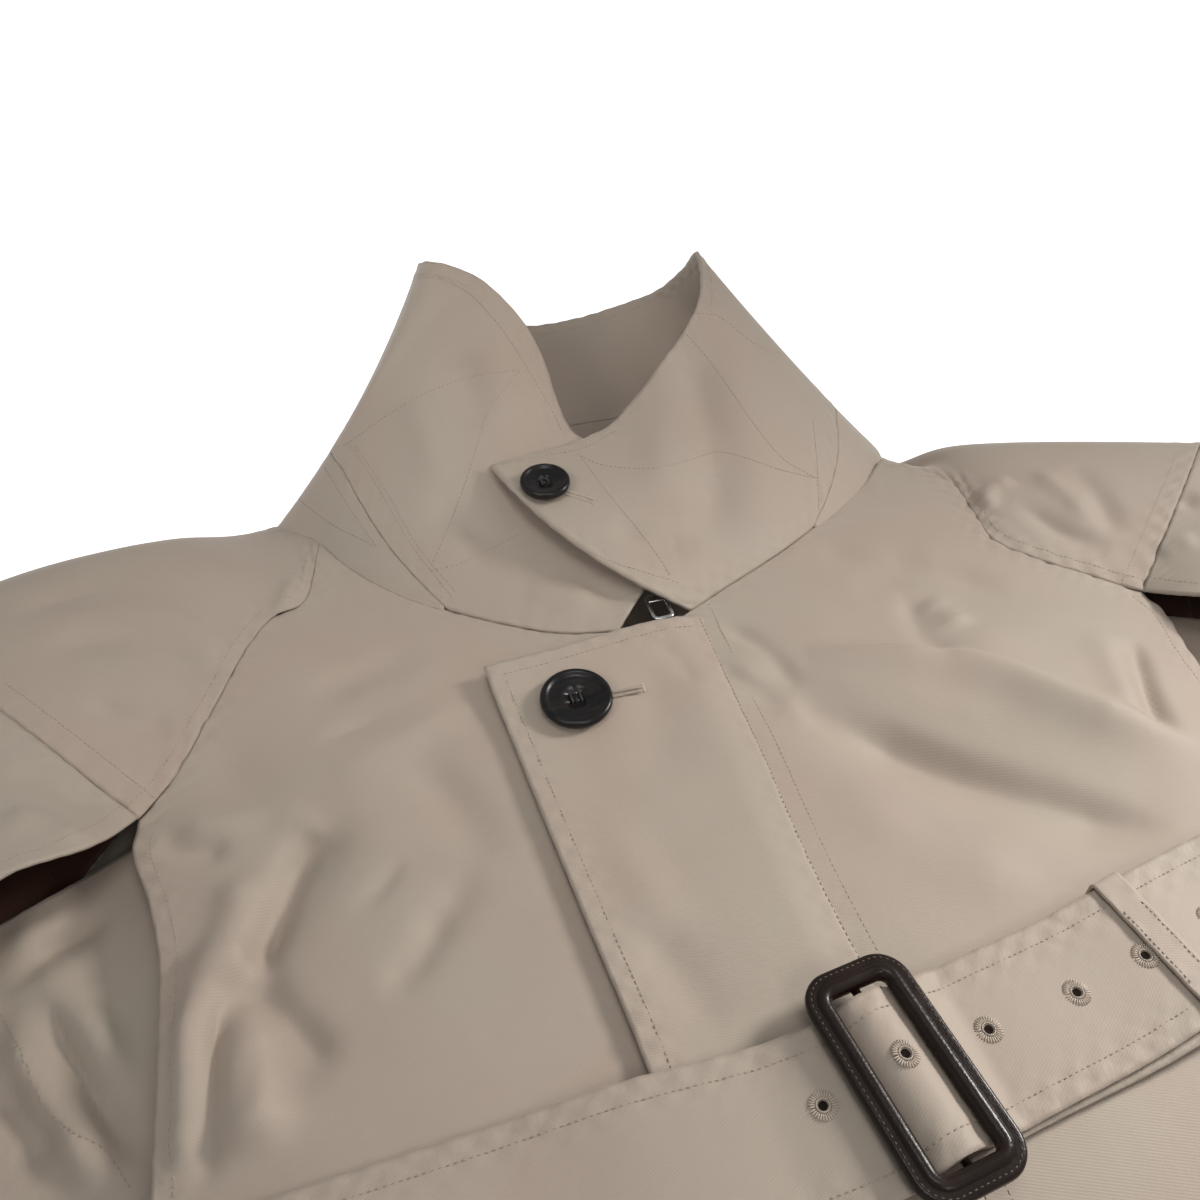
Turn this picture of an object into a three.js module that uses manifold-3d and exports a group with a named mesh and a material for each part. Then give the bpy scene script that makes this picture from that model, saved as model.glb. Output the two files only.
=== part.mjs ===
// A belted trench coat laid flat on a surface, front up, in millimetres, +Z up.
// Inside this file x runs across the coat, y towards the head, and z is the height over the surface.
// The wearer's right is on the -x side. Every cloth piece is a wall on both sides of a middle surface.
import * as THREE from 'three';
import { mergeVertices } from 'three/addons/utils/BufferGeometryUtils.js';
import Module from 'manifold-3d';

// Driving sizes
const CLOTH = 1.5; // thickness of a cloth wall
const LAYER = 2.3; // pitch from one cloth layer to the next
const SEAM_GAP = 1.1; // between the middle surfaces' edges along a sewn seam
const COLLAR_START = 0.014; // share of the collar's height left free over the neck seam
const HEM_Y = -850;
const FLOOR_LAYER = CLOTH / 2; // height of the middle surface of cloth that rests on the surface
const UNDERARM_GAP = 0.5; // between the sleeve's two edges where they are sewn together

const BELT = { width: 46.5, cloth: 1.5, clearance: 0.9, startX: 4, tailEnd: 165, foldX: 271.5, foldRound: 7 };
const KEEPER = { x: 88, width: 10, cloth: 1, clearance: 0.7, lift: 1.6, turn: 0.14 };
const BUCKLE = { x: -1, y: -287.5, length: 64, width: 32, bar: 7, height: 5.5, round: 9, turn: 0.11, middleBar: 2.6 };
// Where the strap changes level at the buckle, as distances from its middle
const BUCKLE_REACH = { low: 45, rise: 33, level: 19, window: 16, tail: 25, over: 3.3 };
const BUTTON = {
  large: 26,
  small: 20.5,
  height: 4.2,
  rim: 0.13,
  dish: 0.26,
  shank: 0.9,
  shankRadius: 2.6,
  clearance: 0.35,
  sides: 16,
  rows: [{ x: -46, y: -132 }, { x: -44, y: -382 }, { x: -42, y: -632 }],
  collar: { station: 20.78, share: 0.81 },
};
const ZIP = {
  x: -1,
  gap: 10, // between the two fronts' edges
  inner: 0.35, // from the middle line to a rail's inner side
  rail: 4.3, // and to its outer side
  railHeight: 1.8,
  top: -113,
  end: -640,
  rightFrontTop: -102,
  leftFrontTop: -100.5,
};
// How far the storm flap's top stands up by the zip, and how far its free edge lifts
const FLAP_RISE = { top: 3.2, y: -103, reach: 20, edge: 1.2 };
const SLIDER = { width: 8, length: 12, height: 3.4, y: -106, bail: 3 };
const PULL = { width: 9, length: 13, rod: 1.3, hingeY: -99.6 };

const COLOURS = {
  cloth: 0xbba795,
  horn: 0x1d1a19,
  leather: 0x3a211b,
  metal: 0xb9bcc0,
};

// Height of the front's cloth at its middle and at its side edges
const FRONT_HEIGHTS = [
  { y: 60, middle: 31, side: 30 },
  { y: -60, middle: 31, side: 29 },
  { y: -100, middle: 30.5, side: 26 },
  { y: -130, middle: 28.5, side: 21 },
  { y: -250, middle: 26.8, side: 19.3 },
  { y: -320, middle: 26.2, side: 18.6 },
  { y: -440, middle: 18, side: 12.5 },
  { y: -600, middle: 13, side: 11 },
  { y: -850, middle: 9.5, side: 9.5 },
];
// The fronts' free side edge, the same on both sides
const SIDE_EDGE = [
  { y: -131, x: 197 },
  { y: -143, x: 199 },
  { y: -164, x: 194 },
  { y: -190, x: 191 },
  { y: -250, x: 193.5 },
  { y: -420, x: 206 },
  { y: -850, x: 262 },
];
// The storm flap's two edges
const FLAP_EDGES = [
  { y: -100, free: -74, sewn: 14.5 },
  { y: -168, free: -70, sewn: 12 },
  { y: -215, free: -67, sewn: 9 },
  { y: -265, free: -64, sewn: 8.5 },
  { y: -850, free: -60, sewn: 8.5 },
];
// Ridges and troughs of the fronts: from one end to the other, height and half width
const FRONT_FOLDS = [
  { x1: -141, y1: -163, x2: -160, y2: -192, height: -4, half: 9 },
  { x1: -177, y1: -196, x2: -180, y2: -238, height: 4.5, half: 9 },
  { x1: -164, y1: -205, x2: -161, y2: -236, height: -3.5, half: 8 },
  { x1: 112, y1: -150, x2: 172, y2: -222, height: 3, half: 15 },
  { x1: 28, y1: -144, x2: 122, y2: -222, height: -2.4, half: 14 },
  { x1: -110, y1: -360, x2: -135, y2: -640, height: 4, half: 22 },
  { x1: 95, y1: -350, x2: 150, y2: -700, height: 4.5, half: 24 },
  { x1: 190, y1: -390, x2: 205, y2: -560, height: -1.6, half: 18 },
];
// Ridges of the side panels' upper layer, given for +x and mirrored
const SIDE_FOLDS = [
  { x1: 231, y1: -160, x2: 204, y2: -245, height: 5, half: 9 },
  { x1: 262, y1: -330, x2: 285, y2: -640, height: 4, half: 14 },
];
// The side panels: inner edge on the front side, outer fold, and seam to the back panel
const SIDE_PANEL = [
  { at: 0, innerX: 186, innerY: -124, foldX: 270, foldY: -163, backX: 226, backY: -142 },
  { at: 0.04, innerX: 183, innerY: -150, foldX: 267, foldY: -180, backX: 227, backY: -165 },
  { at: 0.18, innerX: 178, innerY: -255, foldX: 266, foldY: -262, backX: 231, backY: -262 },
  { at: 0.28, innerX: 182, innerY: -325, foldX: 272, foldY: -328, backX: 236, backY: -328 },
  { at: 0.5, innerX: 196, innerY: -490, foldX: 292, foldY: -492, backX: 254, backY: -492 },
  { at: 1, innerX: 244, innerY: HEM_Y, foldX: 334, foldY: HEM_Y, backX: 300, backY: HEM_Y },
];
const SIDE_HEIGHT = { slit: 8, fold: 8.5, underFront: 2.4, round: 5 };

// Raglan seams on the front, from the neck to the front of the armpit
const RAGLAN = {
  right: [
    { x: -123, y: -12 },
    { x: -134, y: -49 },
    { x: -146, y: -54 },
    { x: -156, y: -67 },
    { x: -170, y: -94 },
    { x: -184, y: -117 },
    { x: -197, y: -131 },
  ],
  left: [
    { x: 130, y: -27 },
    { x: 146, y: -39 },
    { x: 153, y: -52 },
    { x: 152, y: -72 },
    { x: 150, y: -92 },
    { x: 164, y: -108 },
    { x: 180, y: -119 },
    { x: 197, y: -131 },
  ],
};
// Shoulder pieces: the fold over the shoulder, the back raglan seam, and the height of the top
const SHOULDER = {
  right: [
    { at: 0, foldX: -143, foldY: 14, backX: -100, backY: 42, crest: 33, front: 31 },
    { at: 0.16, foldX: -164, foldY: 8, backX: -116, backY: 20, crest: 36, front: 30 },
    { at: 0.33, foldX: -188, foldY: 5, backX: -139, backY: -18, crest: 41, front: 30 },
    { at: 0.66, foldX: -238, foldY: -4, backX: -182, backY: -79, crest: 45, front: 27 },
    { at: 1, foldX: -291, foldY: -24, backX: -225, backY: -140, crest: 46, front: 22 },
  ],
  left: [
    { at: 0, foldX: 144, foldY: 4, backX: 100, backY: 42, crest: 31, front: 30 },
    { at: 0.16, foldX: 162, foldY: -13, backX: 116, backY: 20, crest: 33, front: 29 },
    { at: 0.33, foldX: 186, foldY: -26, backX: 139, backY: -18, crest: 37, front: 28 },
    { at: 0.66, foldX: 238, foldY: -46, backX: 182, backY: -79, crest: 41, front: 26 },
    { at: 1, foldX: 289, foldY: -64, backX: 225, backY: -140, crest: 42, front: 22 },
  ],
};
// Sleeves, given for +x: lower front edge, fold and lower back edge
const SLEEVE = [
  { at: 0.09, frontX: 209, frontY: -151, front: 31, foldX: 325, foldY: -62, backX: 246, backY: -148, crest: 43 },
  { at: 0.18, frontX: 229, frontY: -162, front: 31, foldX: 360, foldY: -82, backX: 270, backY: -159, crest: 40 },
  { at: 0.32, frontX: 266, frontY: -178, front: 17, foldX: 412, foldY: -118, backX: 297, backY: -190, crest: 34 },
  { at: 0.47, frontX: 325, frontY: -230, front: 2.75, foldX: 462, foldY: -168, backX: 325, backY: -230, crest: 28 },
  { at: 0.74, frontX: 420, frontY: -338, front: 2.75, foldX: 542, foldY: -268, backX: 420, backY: -338, crest: 22 },
  { at: 1, frontX: 502, frontY: -452, front: 2.75, foldX: 614, foldY: -380, backX: 502, backY: -452, crest: 19 },
];
const SLEEVE_FOLDS = [
  { x1: 300, y1: -120, x2: 360, y2: -150, height: 3.5, half: 12 },
  { x1: 380, y1: -190, x2: 470, y2: -260, height: -3, half: 14 },
  { x1: 470, y1: -330, x2: 545, y2: -400, height: 3, half: 14 },
];

// The collar's sections from the under leaf's point, round the back, to the buttoned leaf's point:
// the neck seam, the middle of the cloth and the outer edge
const COLLAR = [
  { bx: -20, by: -100, bz: 32.5, mx: 14, my: -66, mz: 40, tx: 50, ty: -26, tz: 46 },
  { bx: -43, by: -94, bz: 32, mx: -16, my: -55, mz: 41, tx: 26, ty: -8, tz: 47 },
  { bx: -69, by: -78, bz: 32, mx: -46, my: -35, mz: 44, tx: -6, ty: 5, tz: 51 },
  { bx: -95, by: -56, bz: 32, mx: -70, my: -12, mz: 53, tx: -15, ty: 27, tz: 80 },
  { bx: -113, by: -32, bz: 31.5, mx: -86, my: 10, mz: 59, tx: -22.5, ty: 36, tz: 96 },
  { bx: -123, by: -12, bz: 31, mx: -93, my: 27, mz: 64, tx: -36, ty: 52, tz: 108 },
  { bx: -139, by: 12, bz: 24, mx: -93, my: 38, mz: 66, tx: -54, ty: 68, tz: 112 },
  { bx: -130, by: 30, bz: 10, mx: -88, my: 60, mz: 54, tx: -52, ty: 98, tz: 96 },
  { bx: -100, by: 42, bz: 3.5, mx: -70, my: 80, mz: 34, tx: -43, ty: 121, tz: 66 },
  { bx: -55, by: 44, bz: 2.6, mx: -38, my: 88, mz: 22, tx: -22, ty: 131, tz: 45 },
  { bx: 0, by: 44, bz: 2.6, mx: 2, my: 88, mz: 19, tx: 4, ty: 131, tz: 38.5 },
  { bx: 55, by: 44, bz: 2.6, mx: 44, my: 88, mz: 19, tx: 30, ty: 131, tz: 39 },
  { bx: 100, by: 42, bz: 3.5, mx: 80, my: 86, mz: 23, tx: 53, ty: 134, tz: 41 },
  { bx: 130, by: 28, bz: 9, mx: 102, my: 72, mz: 37, tx: 74, ty: 128, tz: 50 },
  { bx: 139, by: 9, bz: 20, mx: 108, my: 48, mz: 50, tx: 82, ty: 110, tz: 70 },
  { bx: 138, by: -10, bz: 25, mx: 106, my: 26, mz: 58, tx: 77, ty: 81, tz: 92 },
  { bx: 130, by: -27, bz: 28, mx: 102, my: 10, mz: 60, tx: 66, ty: 46, tz: 90 },
  { bx: 112, by: -43, bz: 31, mx: 91, my: -8, mz: 57, tx: 54, ty: 31, tz: 82 },
  { bx: 87, by: -59, bz: 32, mx: 71, my: -24, mz: 53, tx: 38, ty: 18, tz: 74 },
  { bx: 56, by: -76, bz: 33, mx: 46, my: -38, mz: 51, tx: 22, ty: 9, tz: 62 },
  { bx: 28, by: -89, bz: 34, mx: 14, my: -50, mz: 51, tx: 0, ty: -4, tz: 56 },
  { bx: 11, by: -97, bz: 34.5, mx: -25, my: -70, mz: 49, tx: -49, ty: -15, tz: 56.5 },
];
const NECK = { rightRaglan: 5, rightBack: 8, leftBack: 12, leftRaglan: 16, rightEnd: 0, leftEnd: 21 };
// Where the fall is sewn to the stand, as a share of the collar's height
const STAND_SEAM = [
  { station: 2.4, share: 0 },
  { station: 3, share: 0.12 },
  { station: 4, share: 0.26 },
  { station: 5, share: 0.3 },
  { station: 16, share: 0.28 },
  { station: 17, share: 0.2 },
  { station: 18.3, share: 0 },
];
const STAND_ENDS = { from: 3, to: 18 };

// The belt's middle line over the front, and where it runs under the back
const BELT_FRONT = [
  { x: -290, y: -281 },
  { x: -175, y: -287.5 },
  { x: -78, y: -288.5 },
  { x: -22, y: -290.5 },
  { x: 0, y: -287.5 },
  { x: 24, y: -283.5 },
  { x: 72, y: -278 },
  { x: 126, y: -270 },
  { x: 200, y: -264 },
  { x: 290, y: -262 },
];

// Curves and tables
const clamp = THREE.MathUtils.clamp;
const mix = THREE.MathUtils.lerp;
const ease = (low, high, value) => THREE.MathUtils.smoothstep(value, low, high);
const steps = (from, to, count) => Array.from({ length: count + 1 }, (_, i) => mix(from, to, i / count));

// A smooth value from a table's rows, read at a place along the column named key
function readTable(table, key, column, place) {
  const rising = table[0][key] < table[table.length - 1][key] ? table : [...table].reverse();
  const last = rising.length - 1;
  const at = clamp(place, rising[0][key], rising[last][key]);
  let i = 0;
  while (i < last - 1 && at > rising[i + 1][key]) i += 1;
  const slope = (k) => {
    const low = rising[Math.max(k - 1, 0)];
    const high = rising[Math.min(k + 1, last)];
    return (high[column] - low[column]) / (high[key] - low[key]);
  };
  const span = rising[i + 1][key] - rising[i][key];
  const t = (at - rising[i][key]) / span;
  const rise = (2 * t - 3) * t * t;
  return (
    (1 + rise) * rising[i][column] - rise * rising[i + 1][column] +
    ((t - 2) * t * t + t) * span * slope(i) + (t - 1) * t * t * span * slope(i + 1)
  );
}

function planCurve(rows) {
  return new THREE.CatmullRomCurve3(rows.map((row) => new THREE.Vector3(row.x, row.y, 0)), false, 'centripetal');
}

// The lift that a set of ridges and troughs gives at a place in plan
function foldLift(folds, x, y) {
  let lift = 0;
  for (const fold of folds) {
    const dx = fold.x2 - fold.x1;
    const dy = fold.y2 - fold.y1;
    const along = clamp(((x - fold.x1) * dx + (y - fold.y1) * dy) / (dx * dx + dy * dy), 0, 1);
    const away = Math.hypot(x - fold.x1 - along * dx, y - fold.y1 - along * dy);
    lift += fold.height * Math.exp(-((away / fold.half) ** 2)) * (1 - 0.35 * along);
  }
  return lift;
}

// Heights of the layers
function frontHeight(x, y) {
  const side = readTable(SIDE_EDGE, 'y', 'x', y);
  const outwards = clamp(Math.abs(x) / side, 0, 1) ** 4;
  const height = mix(readTable(FRONT_HEIGHTS, 'y', 'middle', y), readTable(FRONT_HEIGHTS, 'y', 'side', y), outwards);
  return height + foldLift(FRONT_FOLDS, x, y);
}

function flapHeight(x, y) {
  const nearTop = Math.exp(-(((y - FLAP_RISE.y) / FLAP_RISE.reach) ** 2));
  const standing = FLAP_RISE.top * nearTop * (1 - ease(-20, 12, x) * 0.6);
  const freeEdge = FLAP_RISE.edge * (1 - ease(0, 25, x - readTable(FLAP_EDGES, 'y', 'free', y)));
  return frontHeight(x, y) + LAYER + standing + freeEdge;
}

function sideHeight(x, y) {
  const free = mix(SIDE_HEIGHT.slit, SIDE_HEIGHT.fold, ease(200, 260, Math.abs(x)));
  const tucked = frontHeight(x, y) - SIDE_HEIGHT.underFront;
  const sewn = mix(tucked, free, ease(0, 40, Math.abs(x) - frontEdge(y)));
  const lift = foldLift(SIDE_FOLDS, Math.abs(x), y) * ease(188, 206, Math.abs(x));
  return mix(sewn, free, ease(-460, -360, y)) + lift;
}

function frontEdge(y) {
  return readTable(SIDE_EDGE, 'y', 'x', y);
}

function beltMiddle(x) {
  return readTable(BELT_FRONT, 'x', 'y', x);
}

function beltUnder(x) {
  const [first, last] = [BELT_FRONT[0], BELT_FRONT[BELT_FRONT.length - 1]];
  return mix(first.y, last.y, (x - first.x) / (last.x - first.x));
}

// Cloth that would rest on the surface is lifted where the belt runs under it
function floorHeight(x, y) {
  const away = Math.abs(y - beltUnder(x));
  return FLOOR_LAYER + LAYER * (1 - ease(BELT.width / 2 + 5, BELT.width / 2 + 30, away));
}

// One closed wall of cloth round a middle surface, given at two rows of parameters
function clothWall(name, alongAt, acrossAt, pointAt, colour = COLOURS.cloth, thickness = CLOTH) {
  const rows = alongAt.length;
  const columns = acrossAt.length;
  const middle = alongAt.map((u) => acrossAt.map((v) => pointAt(u, v)));
  const positions = [];
  for (const side of [1, -1]) {
    for (let i = 0; i < rows; i += 1) {
      for (let j = 0; j < columns; j += 1) {
        const along = new THREE.Vector3().subVectors(middle[Math.min(i + 1, rows - 1)][j], middle[Math.max(i - 1, 0)][j]);
        const across = new THREE.Vector3().subVectors(
          middle[i][Math.min(j + 1, columns - 1)], middle[i][Math.max(j - 1, 0)],
        );
        const outwards = along.cross(across).normalize();
        positions.push(...middle[i][j].clone().addScaledVector(outwards, (side * thickness) / 2).toArray());
      }
    }
  }
  const outer = (i, j) => i * columns + j;
  const inner = (i, j) => rows * columns + i * columns + j;
  const faces = [];
  const quad = (a, b, c, d) => faces.push(a, b, c, a, c, d);
  for (let i = 0; i < rows - 1; i += 1) {
    for (let j = 0; j < columns - 1; j += 1) {
      quad(outer(i, j), outer(i + 1, j), outer(i + 1, j + 1), outer(i, j + 1));
      quad(inner(i, j), inner(i, j + 1), inner(i + 1, j + 1), inner(i + 1, j));
    }
    quad(inner(i, 0), inner(i + 1, 0), outer(i + 1, 0), outer(i, 0));
    quad(outer(i, columns - 1), outer(i + 1, columns - 1), inner(i + 1, columns - 1), inner(i, columns - 1));
  }
  for (let j = 0; j < columns - 1; j += 1) {
    quad(outer(0, j), outer(0, j + 1), inner(0, j + 1), inner(0, j));
    quad(inner(rows - 1, j), inner(rows - 1, j + 1), outer(rows - 1, j + 1), outer(rows - 1, j));
  }
  const geometry = new THREE.BufferGeometry();
  geometry.setAttribute('position', new THREE.Float32BufferAttribute(positions, 3));
  geometry.setIndex(faces);
  return dressed(name, geometry, colour);
}

function dressed(name, geometry, colour, roughness = 0.85, metalness = 0) {
  const mesh = new THREE.Mesh(geometry, new THREE.MeshStandardMaterial({ color: colour, roughness, metalness }));
  mesh.name = name;
  mesh.geometry.computeVertexNormals();
  return mesh;
}

// A panel filled in plan between four edges, each a function from 0 to 1
function filledPlan(top, bottom, inner, outer) {
  return (u, v) => {
    const point = top(u).clone().multiplyScalar(1 - v).addScaledVector(bottom(u), v);
    point.addScaledVector(inner(v), 1 - u).addScaledVector(outer(v), u);
    point.addScaledVector(top(0), -(1 - u) * (1 - v)).addScaledVector(top(1), -u * (1 - v));
    point.addScaledVector(bottom(0), -(1 - u) * v).addScaledVector(bottom(1), -u * v);
    return point;
  };
}

// Cloth that folds over at one side: upper layer, round fold and lower layer, as v goes from 0 to 1
const FOLD_SHARES = { upper: 0.42, round: 0.66 };
function foldedSection(row, v) {
  const front = new THREE.Vector3(row.frontX, row.frontY, 0);
  const fold = new THREE.Vector3(row.foldX, row.foldY, 0);
  const back = new THREE.Vector3(row.backX, row.backY, 0);
  const towardsFront = front.clone().sub(fold).normalize();
  const towardsBack = back.clone().sub(fold).normalize();
  const low = row.low ?? FLOOR_LAYER;
  if (v < FOLD_SHARES.upper) {
    const t = v / FOLD_SHARES.upper;
    const point = front.lerp(fold.addScaledVector(towardsFront, row.round), t);
    point.z = mix(row.front, row.crest, Math.sin((Math.PI / 2) * t));
    return point;
  }
  if (v > FOLD_SHARES.round) {
    const t = (v - FOLD_SHARES.round) / (1 - FOLD_SHARES.round);
    const point = fold.addScaledVector(towardsBack, row.round).lerp(back, t);
    point.z = low;
    return point;
  }
  const angle = mix(Math.PI / 2, -Math.PI / 2, (v - FOLD_SHARES.upper) / (FOLD_SHARES.round - FOLD_SHARES.upper));
  const inwards = towardsFront.lerp(towardsBack, (1 - Math.sin(angle)) / 2).normalize();
  const point = fold.addScaledVector(inwards, row.round * (1 - Math.cos(angle)));
  point.z = (row.crest + low) / 2 + ((row.crest - low) / 2) * Math.sin(angle);
  return point;
}

// Collar
const COLLAR_ROWS = COLLAR.map((row, station) => ({ station, ...row }));
function collarPoint(station, share) {
  const read = (column) => readTable(COLLAR_ROWS, 'station', column, station);
  const base = new THREE.Vector3(read('bx'), read('by'), read('bz'));
  const middle = new THREE.Vector3(read('mx'), read('my'), read('mz'));
  const edge = new THREE.Vector3(read('tx'), read('ty'), read('tz'));
  return base.multiplyScalar((1 - share) * (1 - 2 * share))
    .addScaledVector(middle, 4 * share * (1 - share))
    .addScaledVector(edge, share * (2 * share - 1));
}

function standSeam(station) {
  if (station <= STAND_SEAM[0].station || station >= STAND_SEAM[STAND_SEAM.length - 1].station) return 0;
  return Math.max(readTable(STAND_SEAM, 'station', 'share', station), 0);
}

const STATIONS = steps(NECK.rightEnd, NECK.leftEnd, 42);
const HALF_GAP_SHARE = 0.005;
const collarFall = clothWall('collar_fall', STATIONS, steps(0, 1, 6), (station, v) => {
  const start = Math.max(standSeam(station) + HALF_GAP_SHARE, COLLAR_START);
  return collarPoint(station, mix(start, 1, v));
});
const standStations = STATIONS.filter((station) => station >= STAND_ENDS.from && station <= STAND_ENDS.to);
const collarStand = clothWall('collar_stand', standStations, steps(0, 1, 2), (station, v) => (
  collarPoint(station, mix(COLLAR_START, Math.max(standSeam(station) - HALF_GAP_SHARE, 0.05), v))
));

// Fronts
function neckCurve(from, to, count, ...before) {
  const points = steps(from, to, count).map((station) => collarPoint(station, 0).setZ(0));
  return new THREE.CatmullRomCurve3([...before, ...points], false, 'centripetal');
}

const RAGLAN_STEPS = 8;
const SIDE_STEPS = [-146, -164, -188, -214, -240, -264, -282, -300, -330, -380, -450, -540, -640, -745, HEM_Y];
const FRONT_ROWS = RAGLAN_STEPS + SIDE_STEPS.length;
const ARMPIT = { y: -131, centreY: -150 };
function frontPanel(name, side, centreX, neck) {
  const seam = planCurve(RAGLAN[name]);
  const centreTop = neck.getPointAt(0).y;
  const rowOf = (v) => Math.round(v * FRONT_ROWS);
  const outer = (v) => {
    const row = rowOf(v);
    if (row <= RAGLAN_STEPS) return seam.getPointAt(row / RAGLAN_STEPS);
    const y = SIDE_STEPS[row - RAGLAN_STEPS - 1];
    return new THREE.Vector3(side * frontEdge(y), y, 0);
  };
  const inner = (v) => {
    const row = rowOf(v);
    if (row <= RAGLAN_STEPS) return new THREE.Vector3(centreX, mix(centreTop, ARMPIT.centreY, row / RAGLAN_STEPS), 0);
    const down = (SIDE_STEPS[row - RAGLAN_STEPS - 1] - ARMPIT.y) / (HEM_Y - ARMPIT.y);
    return new THREE.Vector3(centreX, mix(ARMPIT.centreY, HEM_Y, down), 0);
  };
  const hem = (u) => new THREE.Vector3(mix(centreX, side * frontEdge(HEM_Y), u), HEM_Y, 0);
  const plan = filledPlan((u) => neck.getPointAt(u), hem, inner, outer);
  const acrossAt = steps(0, 1, 13).map((u) => 1 - (1 - u) ** 1.25);
  return clothWall(`front_${name}`, acrossAt, steps(0, 1, FRONT_ROWS), (u, v) => {
    const point = plan(u, v);
    return point.setZ(frontHeight(point.x, point.y));
  });
}
const rightTop = new THREE.Vector3(ZIP.x - ZIP.gap / 2, ZIP.rightFrontTop, 0);
const leftTop = new THREE.Vector3(ZIP.x + ZIP.gap / 2, ZIP.leftFrontTop, 0);
const rightNeck = neckCurve(NECK.rightEnd, NECK.rightRaglan, 5, rightTop);
const leftNeck = neckCurve(NECK.leftEnd, NECK.leftRaglan, 5, leftTop);
const frontRight = frontPanel('right', -1, ZIP.x - ZIP.gap / 2, rightNeck);
const frontLeft = frontPanel('left', 1, ZIP.x + ZIP.gap / 2, leftNeck);

// Storm flap, lying on both fronts
const FLAP_STEPS = [-100, -112, -128, -150, -185, -220, -246, -264, -282, -300, -330, -380, -450, -540, -640, -745, HEM_Y];
const stormFlap = clothWall('storm_flap', steps(0, 1, 6), FLAP_STEPS, (across, y) => {
  const topSlope = ease(-150, -100, y) * mix(-9, -1, across);
  const x = mix(readTable(FLAP_EDGES, 'y', 'free', y), readTable(FLAP_EDGES, 'y', 'sewn', y), across);
  return new THREE.Vector3(x, y + topSlope, flapHeight(x, y + topSlope));
});

// Back panel and side panels
function sidePanelRow(at, mirror) {
  const read = (column) => readTable(SIDE_PANEL, 'at', column, at);
  return {
    frontX: mirror * read('innerX'),
    frontY: read('innerY'),
    foldX: mirror * read('foldX'),
    foldY: read('foldY'),
    backX: mirror * read('backX'),
    backY: read('backY'),
    front: SIDE_HEIGHT.slit,
    crest: SIDE_HEIGHT.fold,
    round: SIDE_HEIGHT.round,
  };
}

const PANEL_ROWS = [0, 0.04, 0.09, 0.14, 0.165, 0.19, 0.215, 0.24, 0.29, 0.36, 0.46, 0.58, 0.72, 0.86, 1];
function sidePanel(name, mirror) {
  return clothWall(name, steps(0, 1, 12), PANEL_ROWS, (share, at) => {
    const point = foldedSection(sidePanelRow(at, mirror), share);
    const low = floorHeight(point.x, point.y);
    const top = sideHeight(point.x, point.y);
    const turn = (point.z - FLOOR_LAYER) / (SIDE_HEIGHT.fold - FLOOR_LAYER);
    return point.setZ(share <= FOLD_SHARES.upper ? top : mix(low, top, turn));
  });
}
const sideRight = sidePanel('side_right', -1);
const sideLeft = sidePanel('side_left', 1);

const BACK_RAGLAN_STEPS = 6;
function backEdge(mirror) {
  const rows = SHOULDER.left.map((row) => ({ x: mirror * row.backX, y: row.backY }));
  const neck = { x: mirror * Math.abs(COLLAR[NECK.leftBack].bx), y: COLLAR[NECK.leftBack].by };
  return planCurve([neck, ...rows]);
}
const backSide = (v, mirror) => {
  const total = BACK_RAGLAN_STEPS + PANEL_ROWS.length - 1;
  const k = Math.round(v * total);
  if (k < BACK_RAGLAN_STEPS) return backEdge(mirror).getPointAt(k / BACK_RAGLAN_STEPS);
  const row = sidePanelRow(PANEL_ROWS[k - BACK_RAGLAN_STEPS], mirror);
  return new THREE.Vector3(row.backX - mirror * SEAM_GAP, row.backY, 0);
};
const backNeck = neckCurve(NECK.rightBack, NECK.leftBack, 4);
const backPlan = filledPlan(
  (u) => backNeck.getPointAt(u),
  (u) => new THREE.Vector3(mix(-1, 1, u) * (SIDE_PANEL.at(-1).backX - SEAM_GAP), HEM_Y, 0),
  (v) => backSide(v, -1),
  (v) => backSide(v, 1),
);
const backRows = steps(0, 1, BACK_RAGLAN_STEPS + PANEL_ROWS.length - 1);
const backPanel = clothWall('back_panel', steps(0, 1, 10), backRows, (u, v) => {
  const point = backPlan(u, v);
  return point.setZ(floorHeight(point.x, point.y));
});

// Shoulders and sleeves
const SHOULDER_ROUND = 24;
function shoulderRow(side, at) {
  const table = SHOULDER[side];
  const read = (column) => readTable(table, 'at', column, at);
  const seam = planCurve(RAGLAN[side]).getPointAt(at);
  const row = { front: read('front'), crest: read('crest'), round: SHOULDER_ROUND * mix(0.6, 1, at) };
  const fold = new THREE.Vector3(read('foldX'), read('foldY'), 0);
  seam.addScaledVector(fold.clone().sub(seam).normalize(), SEAM_GAP);
  const back = backEdge(side === 'left' ? 1 : -1).getPointAt(at);
  back.addScaledVector(fold.clone().sub(back).normalize(), SEAM_GAP);
  return {
    ...row,
    front: Math.max(row.front, frontHeight(seam.x, seam.y)),
    frontX: seam.x,
    frontY: seam.y,
    foldX: fold.x,
    foldY: fold.y,
    backX: back.x,
    backY: back.y,
  };
}

// The shoulder piece's neck edge follows the collar's neck seam and comes down to the surface behind
function neckEnd(side, share) {
  const row = shoulderRow(side, 0);
  if (share === 0) return new THREE.Vector3(row.frontX, row.frontY, row.front);
  if (share === 1) return new THREE.Vector3(row.backX, row.backY, FLOOR_LAYER);
  const ends = side === 'left' ? [NECK.leftRaglan, NECK.leftBack] : [NECK.rightRaglan, NECK.rightBack];
  const point = collarPoint(mix(ends[0], ends[1], share), 0);
  return point.setZ(mix(point.z, FLOOR_LAYER, ease(0.45, 0.95, share)));
}

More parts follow.
